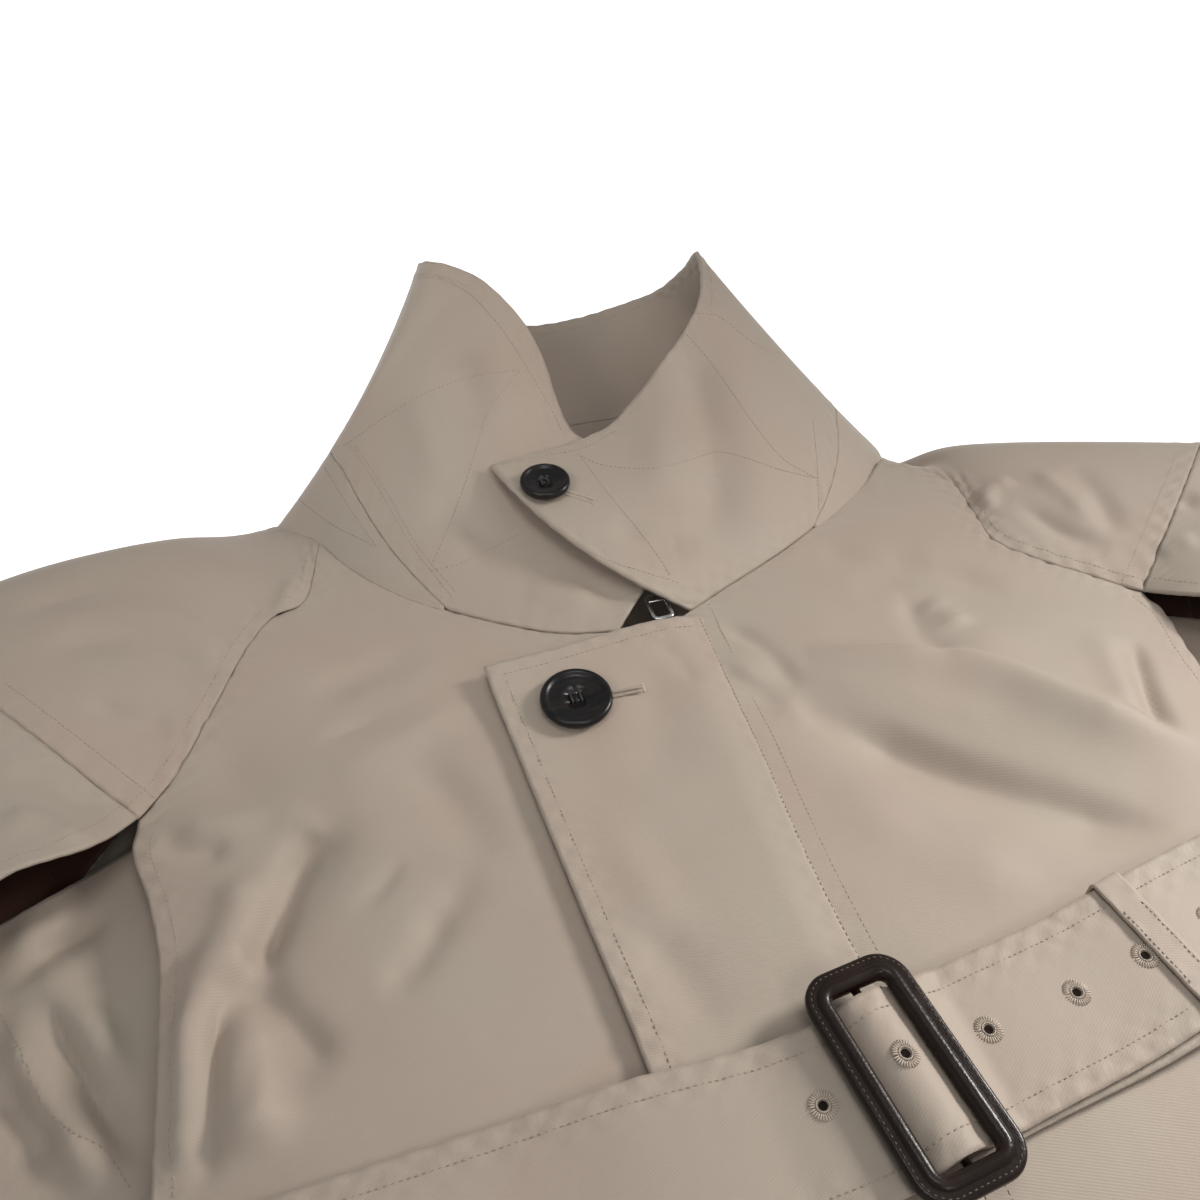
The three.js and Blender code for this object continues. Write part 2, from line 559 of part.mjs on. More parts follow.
function shoulder(side) {
  return clothWall(`shoulder_${side}`, steps(0, 1, 14), steps(0, 1, RAGLAN_STEPS), (share, at) => {
    const toNeck = neckEnd(side, share).sub(foldedSection(shoulderRow(side, 0), share));
    return foldedSection(shoulderRow(side, at), share).addScaledVector(toNeck, 1 - ease(0, 0.45, at));
  });
}
const shoulderRight = shoulder('right');
const shoulderLeft = shoulder('left');

function sleeve(side) {
  const mirror = side === 'left' ? 1 : -1;
  const start = shoulderRow(side, 1);
  const rows = [{ ...start, at: 0 }, ...SLEEVE.map((row) => ({
    ...row,
    frontX: mirror * row.frontX,
    foldX: mirror * row.foldX,
    backX: mirror * row.backX,
    round: SHOULDER_ROUND * mix(1, 0.5, row.at),
  }))];
  const columns = ['frontX', 'frontY', 'front', 'foldX', 'foldY', 'backX', 'backY', 'crest', 'round'];
  const nudge = new THREE.Vector3(mirror * 0.8, -0.8, 0);
  const along = [0, 0.045, 0.09, 0.14, 0.2, 0.27, 0.35, 0.44, 0.55, 0.66, 0.78, 0.89, 1];
  return clothWall(`sleeve_${side}`, steps(0, 1, 14), along, (share, at) => {
    const row = Object.fromEntries(columns.map((column) => [column, readTable(rows, 'at', column, at)]));
    row.front = Math.max(row.front, FLOOR_LAYER + CLOTH + UNDERARM_GAP);
    const point = foldedSection(row, share).addScaledVector(nudge, 1 - ease(0, 0.1, at));
    const upper = Math.min(share / FOLD_SHARES.upper, 1);
    const lift = foldLift(SLEEVE_FOLDS, mirror * point.x, point.y) * Math.sin(Math.PI * upper);
    return point.setZ(point.z + lift);
  });
}
const sleeveRight = sleeve('right');
const sleeveLeft = sleeve('left');

// Belt: one strap from the buckle to the +x side, round under the back, and over the front to its tail
function outerSurface(x, y) {
  const onFlap = ease(-14, -6, x - readTable(FLAP_EDGES, 'y', 'free', y)) *
    (1 - ease(4, 16, x - readTable(FLAP_EDGES, 'y', 'sewn', y)));
  const freeEdge = FLAP_RISE.edge * onFlap;
  const front = frontHeight(clamp(x, -frontEdge(y), frontEdge(y)), y) + onFlap * LAYER + freeEdge;
  const side = sideHeight(x, y);
  return mix(front, side, ease(8, 48, Math.abs(x) - frontEdge(y))) + CLOTH / 2;
}

function beltOver(x, offset, layersBelow) {
  const y = beltMiddle(x) + offset;
  const overKeeper = KEEPER.lift * Math.exp(-(((x - KEEPER.x) / (2 * KEEPER.width)) ** 2));
  const height = outerSurface(x, y) + BELT.clearance + BELT.cloth / 2 + layersBelow * LAYER + overKeeper;
  return new THREE.Vector3(x, y, height);
}

const BELT_SIDE_X = BELT.foldX - BELT.foldRound;
function beltRoundSide(mirror, turn, offset) {
  const y = beltMiddle(mirror * BELT_FRONT[BELT_FRONT.length - 1].x) + offset;
  const top = beltOver(mirror * BELT_SIDE_X, offset, 0).z;
  const low = BELT.cloth / 2;
  const angle = mix(Math.PI / 2, -Math.PI / 2, turn);
  const x = BELT_SIDE_X + BELT.foldRound * Math.cos(angle);
  return new THREE.Vector3(mirror * x, y, (top + low) / 2 + ((top - low) / 2) * Math.sin(angle));
}

// The strap's rise over the buckle's middle bar
function overBar(x, y) {
  const away = (x - BUCKLE.x) * Math.cos(BUCKLE.turn) + (y - BUCKLE.y) * Math.sin(BUCKLE.turn);
  const reach = BUCKLE.width / 2 - BUCKLE.bar + 1;
  return Math.abs(away) < reach ? (0.5 + 0.5 * Math.cos((Math.PI * away) / reach)) * (BUCKLE.middleBar + BUCKLE_REACH.over) : 0;
}

const beltRoute = [
  ...steps(BELT.startX, BELT_SIDE_X, 19).map((x) => (offset) => beltOver(x, offset, 0)),
  ...steps(0.2, 1, 4).map((turn) => (offset) => beltRoundSide(1, turn, offset)),
  ...steps(200, -200, 4).map((x) => (offset) => new THREE.Vector3(x, beltUnder(x) + offset, BELT.cloth / 2)),
  ...steps(1, 0.2, 4).map((turn) => (offset) => beltRoundSide(-1, turn, offset)),
  ...steps(-BELT_SIDE_X, BUCKLE.x - BUCKLE_REACH.low, 16).map((x) => (offset) => beltOver(x, offset, 0)),
  ...steps(-BUCKLE_REACH.rise, -BUCKLE_REACH.level, 2).map((from) => (offset) => (
    beltOver(BUCKLE.x + from, offset, ease(-BUCKLE_REACH.rise - 6, -BUCKLE_REACH.level, from))
  )),
  ...steps(-BUCKLE_REACH.window, BUCKLE_REACH.window, 16).map((x) => (offset) => {
    const point = beltOver(x, offset, 1);
    return point.setZ(point.z + overBar(point.x, point.y));
  }),
  ...steps(BUCKLE.x + BUCKLE_REACH.tail, BELT.tailEnd, 11).map((x) => (offset) => beltOver(x, offset, 1)),
];
const beltAcross = [-0.5, 0, 0.5];
const belt = clothWall('belt', beltRoute.map((_, k) => k), beltAcross, (k, share) => (
  beltRoute[k](share * BELT.width)
), COLOURS.cloth, BELT.cloth);

// The keeper: a narrow band round the belt's tail and the strap under it, its ends meeting underneath
const KEEPER_ROUND = [
  { across: 0.015, up: 0 },
  { across: 0.5, up: 0 },
  { across: 0.965, up: 0 },
  { across: 1, up: 0.15 },
  { across: 1, up: 0.85 },
  { across: 0.965, up: 1 },
  { across: 0.5, up: 1 },
  { across: 0, up: 1 },
  { across: -0.5, up: 1 },
  { across: -0.965, up: 1 },
  { across: -1, up: 0.85 },
  { across: -1, up: 0.15 },
  { across: -0.965, up: 0 },
  { across: -0.5, up: 0 },
  { across: -0.015, up: 0 },
];
const keeper = clothWall('belt_keeper', [-0.5, 0, 0.5], KEEPER_ROUND.map((_, k) => k), (share, k) => {
  const { across, up } = KEEPER_ROUND[k];
  const offset = across * (BELT.width / 2 + KEEPER.clearance + KEEPER.cloth / 2);
  const x = KEEPER.x + share * KEEPER.width - offset * KEEPER.turn;
  const inside = clamp(offset, -BELT.width / 2, BELT.width / 2);
  const reach = BELT.cloth / 2 + KEEPER.clearance + KEEPER.cloth / 2;
  const under = beltOver(x, inside, 0).z - reach;
  const over = beltOver(x, inside, 1).z + reach;
  return new THREE.Vector3(x, beltMiddle(x) + offset, mix(under, over, up));
}, COLOURS.cloth, KEEPER.cloth);

// Solids for the hard pieces, joined and cut where they are made of several shapes
const wasm = await Module();
wasm.setup();

function toSolid(geometry) {
  const bare = geometry.clone();
  bare.deleteAttribute('normal');
  bare.deleteAttribute('uv');
  const merged = mergeVertices(bare, 1e-4);
  return new wasm.Manifold(new wasm.Mesh({
    numProp: 3,
    vertProperties: new Float32Array(merged.attributes.position.array),
    triVerts: new Uint32Array(merged.index.array),
  }));
}

function fromSolid(solid) {
  const { vertProperties, triVerts } = solid.getMesh();
  const geometry = new THREE.BufferGeometry();
  geometry.setAttribute('position', new THREE.BufferAttribute(new Float32Array(vertProperties), 3));
  geometry.setIndex(new THREE.BufferAttribute(new Uint32Array(triVerts), 1));
  return geometry;
}

function roundedRectangle(path, width, length, radius) {
  const x = width / 2 - radius;
  const y = length / 2 - radius;
  path.absarc(x, y, radius, 0, Math.PI / 2);
  path.absarc(-x, y, radius, Math.PI / 2, Math.PI);
  path.absarc(-x, -y, radius, Math.PI, Math.PI * 1.5);
  path.absarc(x, -y, radius, Math.PI * 1.5, Math.PI * 2);
  path.closePath();
  return path;
}

// A flat ring or plate with softened edges, its underside at z = 0
function softPlate(outer, inner, height, softness, curveSegments) {
  const shape = roundedRectangle(new THREE.Shape(), outer.width - 2 * softness, outer.length - 2 * softness,
    outer.round - softness);
  if (inner) {
    shape.holes.push(roundedRectangle(new THREE.Path(), inner.width + 2 * softness, inner.length + 2 * softness,
      inner.round + softness));
  }
  const geometry = new THREE.ExtrudeGeometry(shape, {
    depth: height - 2 * softness,
    bevelEnabled: true,
    bevelSize: softness,
    bevelThickness: softness,
    bevelSegments: 1,
    curveSegments,
  });
  return geometry.translate(0, 0, softness);
}

// Buckle: a round-cornered frame with a low round bar across its middle
const buckleWindow = {
  width: BUCKLE.width - 2 * BUCKLE.bar,
  length: BUCKLE.length - 2 * BUCKLE.bar,
  round: BUCKLE.round - BUCKLE.bar + 1,
};
const buckleFrame = softPlate(BUCKLE, buckleWindow, BUCKLE.height, 1.4, 4);
const middleBar = new THREE.CylinderGeometry(BUCKLE.middleBar / 2, BUCKLE.middleBar / 2, BUCKLE.length - BUCKLE.bar, 8);
middleBar.translate(0, 0, BUCKLE.middleBar / 2 + 0.2);
const buckle = dressed('buckle', fromSolid(toSolid(buckleFrame).add(toSolid(middleBar))), COLOURS.leather, 0.4);
buckle.position.set(BUCKLE.x, BUCKLE.y, beltOver(BUCKLE.x, 0, 1).z + BELT.cloth / 2 + 0.75);
buckle.rotation.z = BUCKLE.turn;

// Buttons: a dished disc with a raised rim on a short thread shank
function button(name, diameter, point, outwards) {
  const r = diameter / 2;
  const h = BUTTON.height;
  const profile = [
    [0, -BUTTON.shank],
    [BUTTON.shankRadius, -BUTTON.shank],
    [BUTTON.shankRadius, 0],
    [r * 0.8, 0],
    [r, h * 0.45],
    [r * 0.98, h * 0.85],
    [r * (1 - BUTTON.rim * 0.6), h],
    [r * (1 - BUTTON.rim * 1.8), h * 0.8],
    [r * 0.35, h * (1 - BUTTON.dish)],
    [0, h * (1 - BUTTON.dish)],
  ].map(([x, y]) => new THREE.Vector2(x, y));
  const geometry = new THREE.LatheGeometry(profile, BUTTON.sides).rotateX(Math.PI / 2);
  const mesh = dressed(name, geometry, COLOURS.horn, 0.3);
  mesh.quaternion.setFromUnitVectors(new THREE.Vector3(0, 0, 1), outwards);
  mesh.position.copy(point).addScaledVector(outwards, CLOTH / 2 + BUTTON.shank + BUTTON.clearance);
  return mesh;
}

// The direction out of a surface given as a function of two parameters
function outOf(surface, u, v, stepU, stepV) {
  const along = surface(u + stepU, v).sub(surface(u - stepU, v));
  const across = surface(u, v + stepV).sub(surface(u, v - stepV));
  const outwards = along.cross(across).normalize();
  return outwards.z < 0 ? outwards.negate() : outwards;
}

const onFlap = (x, y) => new THREE.Vector3(x, y, flapHeight(x, y));
const frontButtons = BUTTON.rows.map((row, k) => (
  button(`button_front_${k + 1}`, BUTTON.large, onFlap(row.x, row.y), outOf(onFlap, row.x, row.y, 6, 6))
));
const collarButtonAt = [BUTTON.collar.station, BUTTON.collar.share];
const collarButton = button('button_collar', BUTTON.small, collarPoint(...collarButtonAt),
  outOf(collarPoint, ...collarButtonAt, 0.15, 0.05));

// Zip: a rail of teeth on each front, closed by the slider, with its pull
function zipRail(name, side) {
  const rows = steps(ZIP.top, ZIP.end, 16);
  return clothWall(name, [0, 1], rows, (share, y) => {
    const x = ZIP.x + side * mix(ZIP.inner, ZIP.rail, share);
    return new THREE.Vector3(x, y, frontHeight(x, y));
  }, COLOURS.metal, ZIP.railHeight);
}
const railRight = zipRail('zip_rail_right', -1);
const railLeft = zipRail('zip_rail_left', 1);

const sliderTop = frontHeight(ZIP.x, SLIDER.y) + SLIDER.height / 2;
const sliderBody = softPlate({ ...SLIDER, round: 2.2 }, null, SLIDER.height, 0.5, 3);
sliderBody.translate(0, 0, -SLIDER.height);
const bailHeight = PULL.rod + 1.5;
const bail = new THREE.BoxGeometry(SLIDER.bail, PULL.rod + 2, bailHeight + 1);
bail.translate(0, PULL.hingeY - SLIDER.y, bailHeight / 2 - 0.5);
const bailSlot = new THREE.BoxGeometry(SLIDER.bail + 2, PULL.rod + 0.6, PULL.rod + 0.6);
bailSlot.translate(0, PULL.hingeY - SLIDER.y, (PULL.rod + 0.6) / 2);
const slider = dressed('zip_slider',
  fromSolid(toSolid(sliderBody).add(toSolid(bail)).subtract(toSolid(bailSlot))), COLOURS.metal, 0.35, 0.9);
slider.position.set(ZIP.x, SLIDER.y, sliderTop);

const pullPlate = softPlate({ width: PULL.width, length: PULL.length + PULL.rod, round: 2.6 },
  { width: PULL.width - 2 * PULL.rod - 0.6, length: PULL.length - PULL.rod - 0.4, round: 1.5 }, PULL.rod, 0.3, 3);
pullPlate.translate(0, PULL.length / 2, -PULL.rod / 2);
const pull = dressed('zip_pull', pullPlate, COLOURS.metal, 0.3, 0.9);
pull.position.set(ZIP.x, PULL.hingeY, sliderTop + 0.3 + PULL.rod / 2);

// The whole coat, with the middle of its underside at the origin
const coat = new THREE.Group();
coat.add(
  backPanel, sideRight, sideLeft, frontRight, frontLeft, stormFlap, shoulderRight, shoulderLeft, sleeveRight,
  sleeveLeft, collarFall, collarStand, belt, keeper, buckle, ...frontButtons, collarButton, railRight, railLeft,
  slider, pull,
);
coat.updateMatrixWorld(true);
const extent = new THREE.Box3().setFromObject(coat, true);
const middle = extent.getCenter(new THREE.Vector3());
coat.position.set(-middle.x, -middle.y, -extent.min.z);

export default coat;
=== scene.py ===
"""Looks of a belted trench coat that lies flat, front up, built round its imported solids.

Lengths inside the classes are millimetres in the coat's own frame: x towards the wearer's
left, y towards the head, z up from the surface. Each finished piece is placed in metres.
"""

from __future__ import annotations

import logging
import math
from dataclasses import dataclass
from enum import Enum
from typing import Callable, Iterable, Sequence
import bmesh
import bpy
import numpy as np
from mathutils import Matrix, Vector
from mathutils.bvhtree import BVHTree


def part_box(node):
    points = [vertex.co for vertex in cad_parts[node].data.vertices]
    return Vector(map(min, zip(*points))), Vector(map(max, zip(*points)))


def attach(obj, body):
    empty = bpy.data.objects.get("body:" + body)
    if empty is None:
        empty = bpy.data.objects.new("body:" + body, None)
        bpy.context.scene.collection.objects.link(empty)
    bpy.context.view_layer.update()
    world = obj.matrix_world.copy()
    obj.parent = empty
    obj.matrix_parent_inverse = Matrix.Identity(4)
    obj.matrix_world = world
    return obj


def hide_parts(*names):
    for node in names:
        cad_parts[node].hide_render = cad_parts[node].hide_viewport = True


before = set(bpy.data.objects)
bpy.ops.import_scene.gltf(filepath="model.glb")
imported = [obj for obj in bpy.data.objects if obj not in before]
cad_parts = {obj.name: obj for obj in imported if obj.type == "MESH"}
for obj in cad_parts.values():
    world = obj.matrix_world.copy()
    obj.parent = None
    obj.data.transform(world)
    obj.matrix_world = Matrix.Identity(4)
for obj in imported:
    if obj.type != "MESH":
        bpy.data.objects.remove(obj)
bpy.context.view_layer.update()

LOG = logging.getLogger("coat")
MM = 0.001
Array = np.ndarray
Surface = Callable[[Array, Array], Array]

# Driving sizes, the same as the solids'
CLOTH = 1.5
LAYER = 2.3
SEAM_GAP = 0.25
COLLAR_START = -0.012
HEM_Y = -850.0
FLOOR_LAYER = CLOTH / 2
UNDERARM_GAP = 0.5
BACK_HEM_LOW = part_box("back_panel")[0].y / MM
SHIFT_Y = BACK_HEM_LOW - HEM_Y


class Body(Enum):
    """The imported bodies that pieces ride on."""

    COAT = "coat"
    PULL = "pull"


class Slot(Enum):
    """The record's material slots."""

    CLOTH = "coat_cloth"
    LEATHER = "buckle_leather"
    HORN = "button_horn"
    METAL = "zip_metal"


class Side(Enum):
    """The two sides of the coat, with the sign of their x."""

    RIGHT = -1
    LEFT = 1

    @property
    def word(self) -> str:
        """The side's name as used in node names."""
        return self.name.lower()


@dataclass(frozen=True)
class Table:
    """Rows of named columns, read smoothly along one of them."""

    columns: str
    rows: tuple[tuple[float, ...], ...]

    def column(self, name: str) -> Array:
        """One column's values, in the rows' order."""
        return np.array([row[self.columns.split().index(name)] for row in self.rows], float)

    def read(self, key: str, name: str, place: Array | float) -> Array:
        """Read a column at places along another.

        Args:
            key: The column that the places are on.
            name: The column to read.
            place: Places along key; those past the ends take the end's value.

        Returns:
            The smooth values, in the shape of place.
        """
        x, y = self.column(key), self.column(name)
        if x[0] > x[-1]:
            x, y = x[::-1], y[::-1]
        last = len(x) - 1
        at = np.clip(place, x[0], x[last])
        i = np.clip(np.searchsorted(x, at, "right") - 1, 0, last - 1)
        low, high = np.maximum(np.arange(last + 1) - 1, 0), np.minimum(np.arange(last + 1) + 1, last)
        slope = (y[high] - y[low]) / (x[high] - x[low])
        span = x[i + 1] - x[i]
        t = (at - x[i]) / span
        rise = (2 * t - 3) * t * t
        bend = ((t - 2) * t * t + t) * slope[i] + (t - 1) * t * t * slope[i + 1]
        return (1 + rise) * y[i] - rise * y[i + 1] + span * bend


@dataclass(frozen=True)
class Fold:
    """A soft ridge or trough from one place to another, with its height and half width."""

    x1: float
    y1: float
    x2: float
    y2: float
    height: float
    half: float
    fade: float = 0.35

    def lift(self, x: Array, y: Array) -> Array:
        """How far the fold lifts the cloth at places in plan."""
        dx, dy = self.x2 - self.x1, self.y2 - self.y1
        along = np.clip(((x - self.x1) * dx + (y - self.y1) * dy) / (dx * dx + dy * dy), 0, 1)
        away = np.hypot(x - self.x1 - along * dx, y - self.y1 - along * dy)
        return self.height * np.exp(-((away / self.half) ** 2)) * (1 - self.fade * along)


def lift_of(folds: Iterable[Fold], x: Array, y: Array) -> Array:
    """The lift that a set of folds gives at places in plan."""
    total = np.zeros(np.broadcast(x, y).shape)
    for fold in folds:
        total = total + fold.lift(x, y)
    return total


def mix(a: Array | float, b: Array | float, share: Array | float) -> Array:
    """The value between a and b at a share."""
    return a + (b - a) * share


def ease(low: float, high: float, value: Array | float) -> Array:
    """A smooth step from 0 at low to 1 at high."""
    t = np.clip((np.asarray(value, float) - low) / (high - low), 0, 1)
    return t * t * (3 - 2 * t)


def stack(x: Array, y: Array, z: Array | float) -> Array:
    """Points from three arrays of coordinates."""
    return np.stack(np.broadcast_arrays(np.asarray(x, float), y, z), axis=-1)


def upwards(z: Array) -> Array:
    """Straight moves up by heights."""
    return stack(0 * z, 0 * z, z)


def unit(v: Array) -> Array:
    """Vectors scaled to length 1."""
    return v / np.maximum(np.linalg.norm(v, axis=-1, keepdims=True), 1e-9)


def walked(points: Array) -> Array:
    """Distances along a line of points, from its start."""
    return np.concatenate([[0], np.cumsum(np.linalg.norm(np.diff(points, axis=0), axis=1))])


def facing(points: Array) -> Array:
    """The directions that a grid of points faces, by the order of its rows."""
    return np.cross(np.gradient(points, axis=0), np.gradient(points, axis=1))


class PlanCurve:
    """A smooth curve through points in plan, read by its share of length."""

    SAMPLES = 40

    def __init__(self, points: Sequence[Sequence[float]]) -> None:
        """Fit a centripetal curve through the points."""
        p = np.array([[q[0], q[1]] for q in points], float)
        p = np.vstack([2 * p[0] - p[1], p, 2 * p[-1] - p[-2]])
        t = np.linspace(0, 1, self.SAMPLES, endpoint=False)[:, None]
        pieces = []
        for k in range(1, len(p) - 2):
            a, b, c, d = p[k - 1 : k + 3]
            d0, d1, d2 = (max(np.linalg.norm(v), 1e-6) ** 0.5 for v in (b - a, c - b, d - c))
            m1 = ((b - a) / d0 - (c - a) / (d0 + d1) + (c - b) / d1) * d1
            m2 = ((c - b) / d1 - (d - b) / (d1 + d2) + (d - c) / d2) * d1
            square, cube = 3 * (c - b) - 2 * m1 - m2, 2 * (b - c) + m1 + m2
            pieces.append(b + m1 * t + square * t**2 + cube * t**3)
        self.line = np.vstack([*pieces, p[-2]])
        self.along = walked(self.line)

    def at(self, share: Array | float) -> Array:
        """Points at shares of the curve's length, with z = 0."""
        place = np.clip(np.asarray(share, float), 0, 1) * self.along[-1]
        x, y = (np.interp(place, self.along, self.line[:, k]) for k in (0, 1))
        return stack(x, y, 0.0)


FRONT_HEIGHTS = Table("y middle side", (
    (60, 31, 30), (-60, 31, 29), (-100, 30.5, 26), (-130, 28.5, 21), (-250, 26.8, 19.3),
    (-320, 26.2, 18.6), (-440, 18, 12.5), (-600, 13, 11), (-850, 9.5, 9.5),
))
SIDE_EDGE = Table("y x", (
    (-131, 197), (-143, 199), (-164, 194), (-190, 191), (-250, 193.5), (-420, 206), (-850, 262),
))
FLAP_EDGES = Table("y free sewn", (
    (-100, -74, 14.5), (-168, -70, 12), (-215, -67, 9), (-265, -64, 8.5), (-850, -60, 8.5),
))
SIDE_PANEL = Table("at innerX innerY foldX foldY backX backY", (
    (0, 186, -124, 270, -163, 226, -142), (0.04, 183, -150, 267, -180, 227, -165),
    (0.18, 178, -255, 266, -262, 231, -262), (0.28, 182, -325, 272, -328, 236, -328),
    (0.5, 196, -490, 292, -492, 254, -492), (1, 244, -850, 334, -850, 300, -850),
))
BELT_FRONT = Table("x y", (
    (-290, -281), (-175, -287.5), (-78, -288.5), (-22, -290.5), (0, -287.5), (24, -283.5),
    (72, -277), (126, -267), (200, -259), (290, -257),
))
SIDE_SLIT, SIDE_FOLD, SIDE_UNDER_FRONT, SIDE_ROUND = 8.0, 8.5, 2.4, 5.0
RAGLAN = {
    Side.RIGHT: (
        (-123, -12), (-134, -49), (-146, -54), (-156, -67), (-170, -94), (-184, -117), (-197, -131),
    ),
    Side.LEFT: (
        (130, -27), (146, -39), (153, -52), (152, -72), (150, -92), (164, -108), (180, -119), (197, -131),
    ),
}
SHOULDER = {
    Side.RIGHT: Table("at foldX foldY backX backY crest front", (
        (0, -143, 14, -100, 42, 33, 31), (0.16, -164, 8, -116, 20, 36, 30),
        (0.33, -188, 5, -139, -18, 41, 30), (0.66, -238, -4, -182, -79, 45, 27),
        (1, -291, -24, -225, -140, 46, 22),
    )),
    Side.LEFT: Table("at foldX foldY backX backY crest front", (
        (0, 144, 4, 100, 42, 31, 30), (0.16, 162, -13, 116, 20, 33, 29),
        (0.33, 186, -26, 139, -18, 37, 28), (0.66, 238, -46, 182, -79, 41, 26),
        (1, 280, -59, 225, -140, 42, 22),
    )),
}
SLEEVE_COLUMNS = "at frontX frontY front foldX foldY backX backY crest"
SLEEVE = (
    (0.09, 209, -151, 31, 325, -62, 246, -148, 43), (0.18, 229, -162, 31, 360, -82, 270, -159, 40),
    (0.32, 266, -178, 17, 412, -118, 297, -190, 34), (0.47, 325, -230, 2.75, 462, -168, 325, -230, 28),
    (0.74, 420, -338, 2.75, 542, -268, 420, -338, 22), (1, 502, -452, 2.75, 614, -380, 502, -452, 19),
)
COLLAR = Table("station bx by bz mx my mz tx ty tz", tuple((i, *row) for i, row in enumerate((
    (-20, -100, 32.5, 14, -66, 40, 50, -26, 46), (-43, -94, 32, -16, -55, 41, 26, -8, 47),
    (-69, -78, 32, -46, -35, 44, -6, 5, 51), (-95, -56, 32, -70, -12, 53, -15, 27, 80),
    (-113, -32, 31.5, -86, 10, 59, -22.5, 36, 96), (-123, -12, 31, -93, 27, 64, -36, 52, 108),
    (-139, 12, 24, -93, 38, 66, -54, 68, 112), (-130, 30, 10, -88, 60, 54, -52, 98, 96),
    (-100, 42, 3.5, -70, 80, 34, -43, 121, 66), (-55, 44, 2.6, -38, 88, 22, -22, 131, 45),
    (0, 44, 2.6, 2, 88, 19, 4, 131, 38.5), (55, 44, 2.6, 44, 88, 19, 30, 131, 39),
    (100, 42, 3.5, 80, 86, 23, 53, 134, 41), (130, 28, 9, 102, 72, 37, 74, 128, 50),
    (139, 9, 20, 108, 48, 50, 82, 110, 70), (138, -10, 25, 106, 26, 58, 77, 81, 92),
    (130, -27, 28, 102, 10, 60, 66, 46, 90), (112, -43, 31, 91, -8, 57, 54, 31, 82),
    (87, -59, 32, 71, -24, 53, 38, 18, 74), (56, -76, 33, 46, -38, 51, 22, 9, 62),
    (28, -89, 34, 14, -50, 51, 0, -4, 56), (11, -97, 34.5, -25, -70, 49, -49, -15, 56.5),
))))
STAND_SEAM = Table("station share", (
    (2.4, 0), (3, 0.12), (4, 0.26), (5, 0.3), (16, 0.28), (17, 0.2), (18.3, 0),
))
NECK_RIGHT, NECK_LEFT, NECK_BACK = (0.0, 5.0), (21.0, 16.0), (8.0, 12.0)
STAND_ENDS = (2.45, 18.25)

# Ridges and troughs: the solids' own, then finer ones that only show here
FRONT_FOLDS = (
    Fold(-141, -163, -160, -192, -4, 9), Fold(-177, -196, -180, -238, 4.5, 9),
    Fold(-164, -205, -161, -236, -3.5, 8), Fold(112, -150, 172, -222, 3, 15),
    Fold(28, -144, 122, -222, -2.4, 14), Fold(-110, -360, -135, -640, 4, 22),
    Fold(95, -350, 150, -700, 4.5, 24), Fold(190, -390, 205, -560, -1.6, 18),
)
FINE_FRONT_FOLDS = (
    Fold(-167, -119, -150, -150, -1.4, 8), Fold(-103, -139, -92, -172, -0.9, 11),
    Fold(14, -132, 58, -186, -0.7, 4.5), Fold(20, -126, 90, -172, 0.6, 7),
    Fold(60, -118, 130, -140, 0.8, 12), Fold(-130, -120, -118, -190, 0.8, 10),
    Fold(-60, -420, -80, -800, -1.2, 16), Fold(60, -430, 75, -810, -1.3, 18),
    Fold(150, -460, 190, -800, 1.2, 15), Fold(-160, -470, -190, -790, 1.4, 16),
)
SIDE_FOLDS = (Fold(231, -160, 204, -245, 5, 9), Fold(262, -330, 285, -640, 4, 14))
SLEEVE_FOLDS = (
    Fold(300, -120, 360, -150, 3.5, 12), Fold(380, -190, 470, -260, -3, 14),
    Fold(470, -330, 545, -400, 3, 14),
)


def beside_belt(x: Array, y: Array) -> Array:
    """A weight that is 0 under the belt and 1 away from it."""
    return ease(1, 22, np.abs(y - BELT_FRONT.read("x", "y", x)) - BELT_SIZE.width / 2)


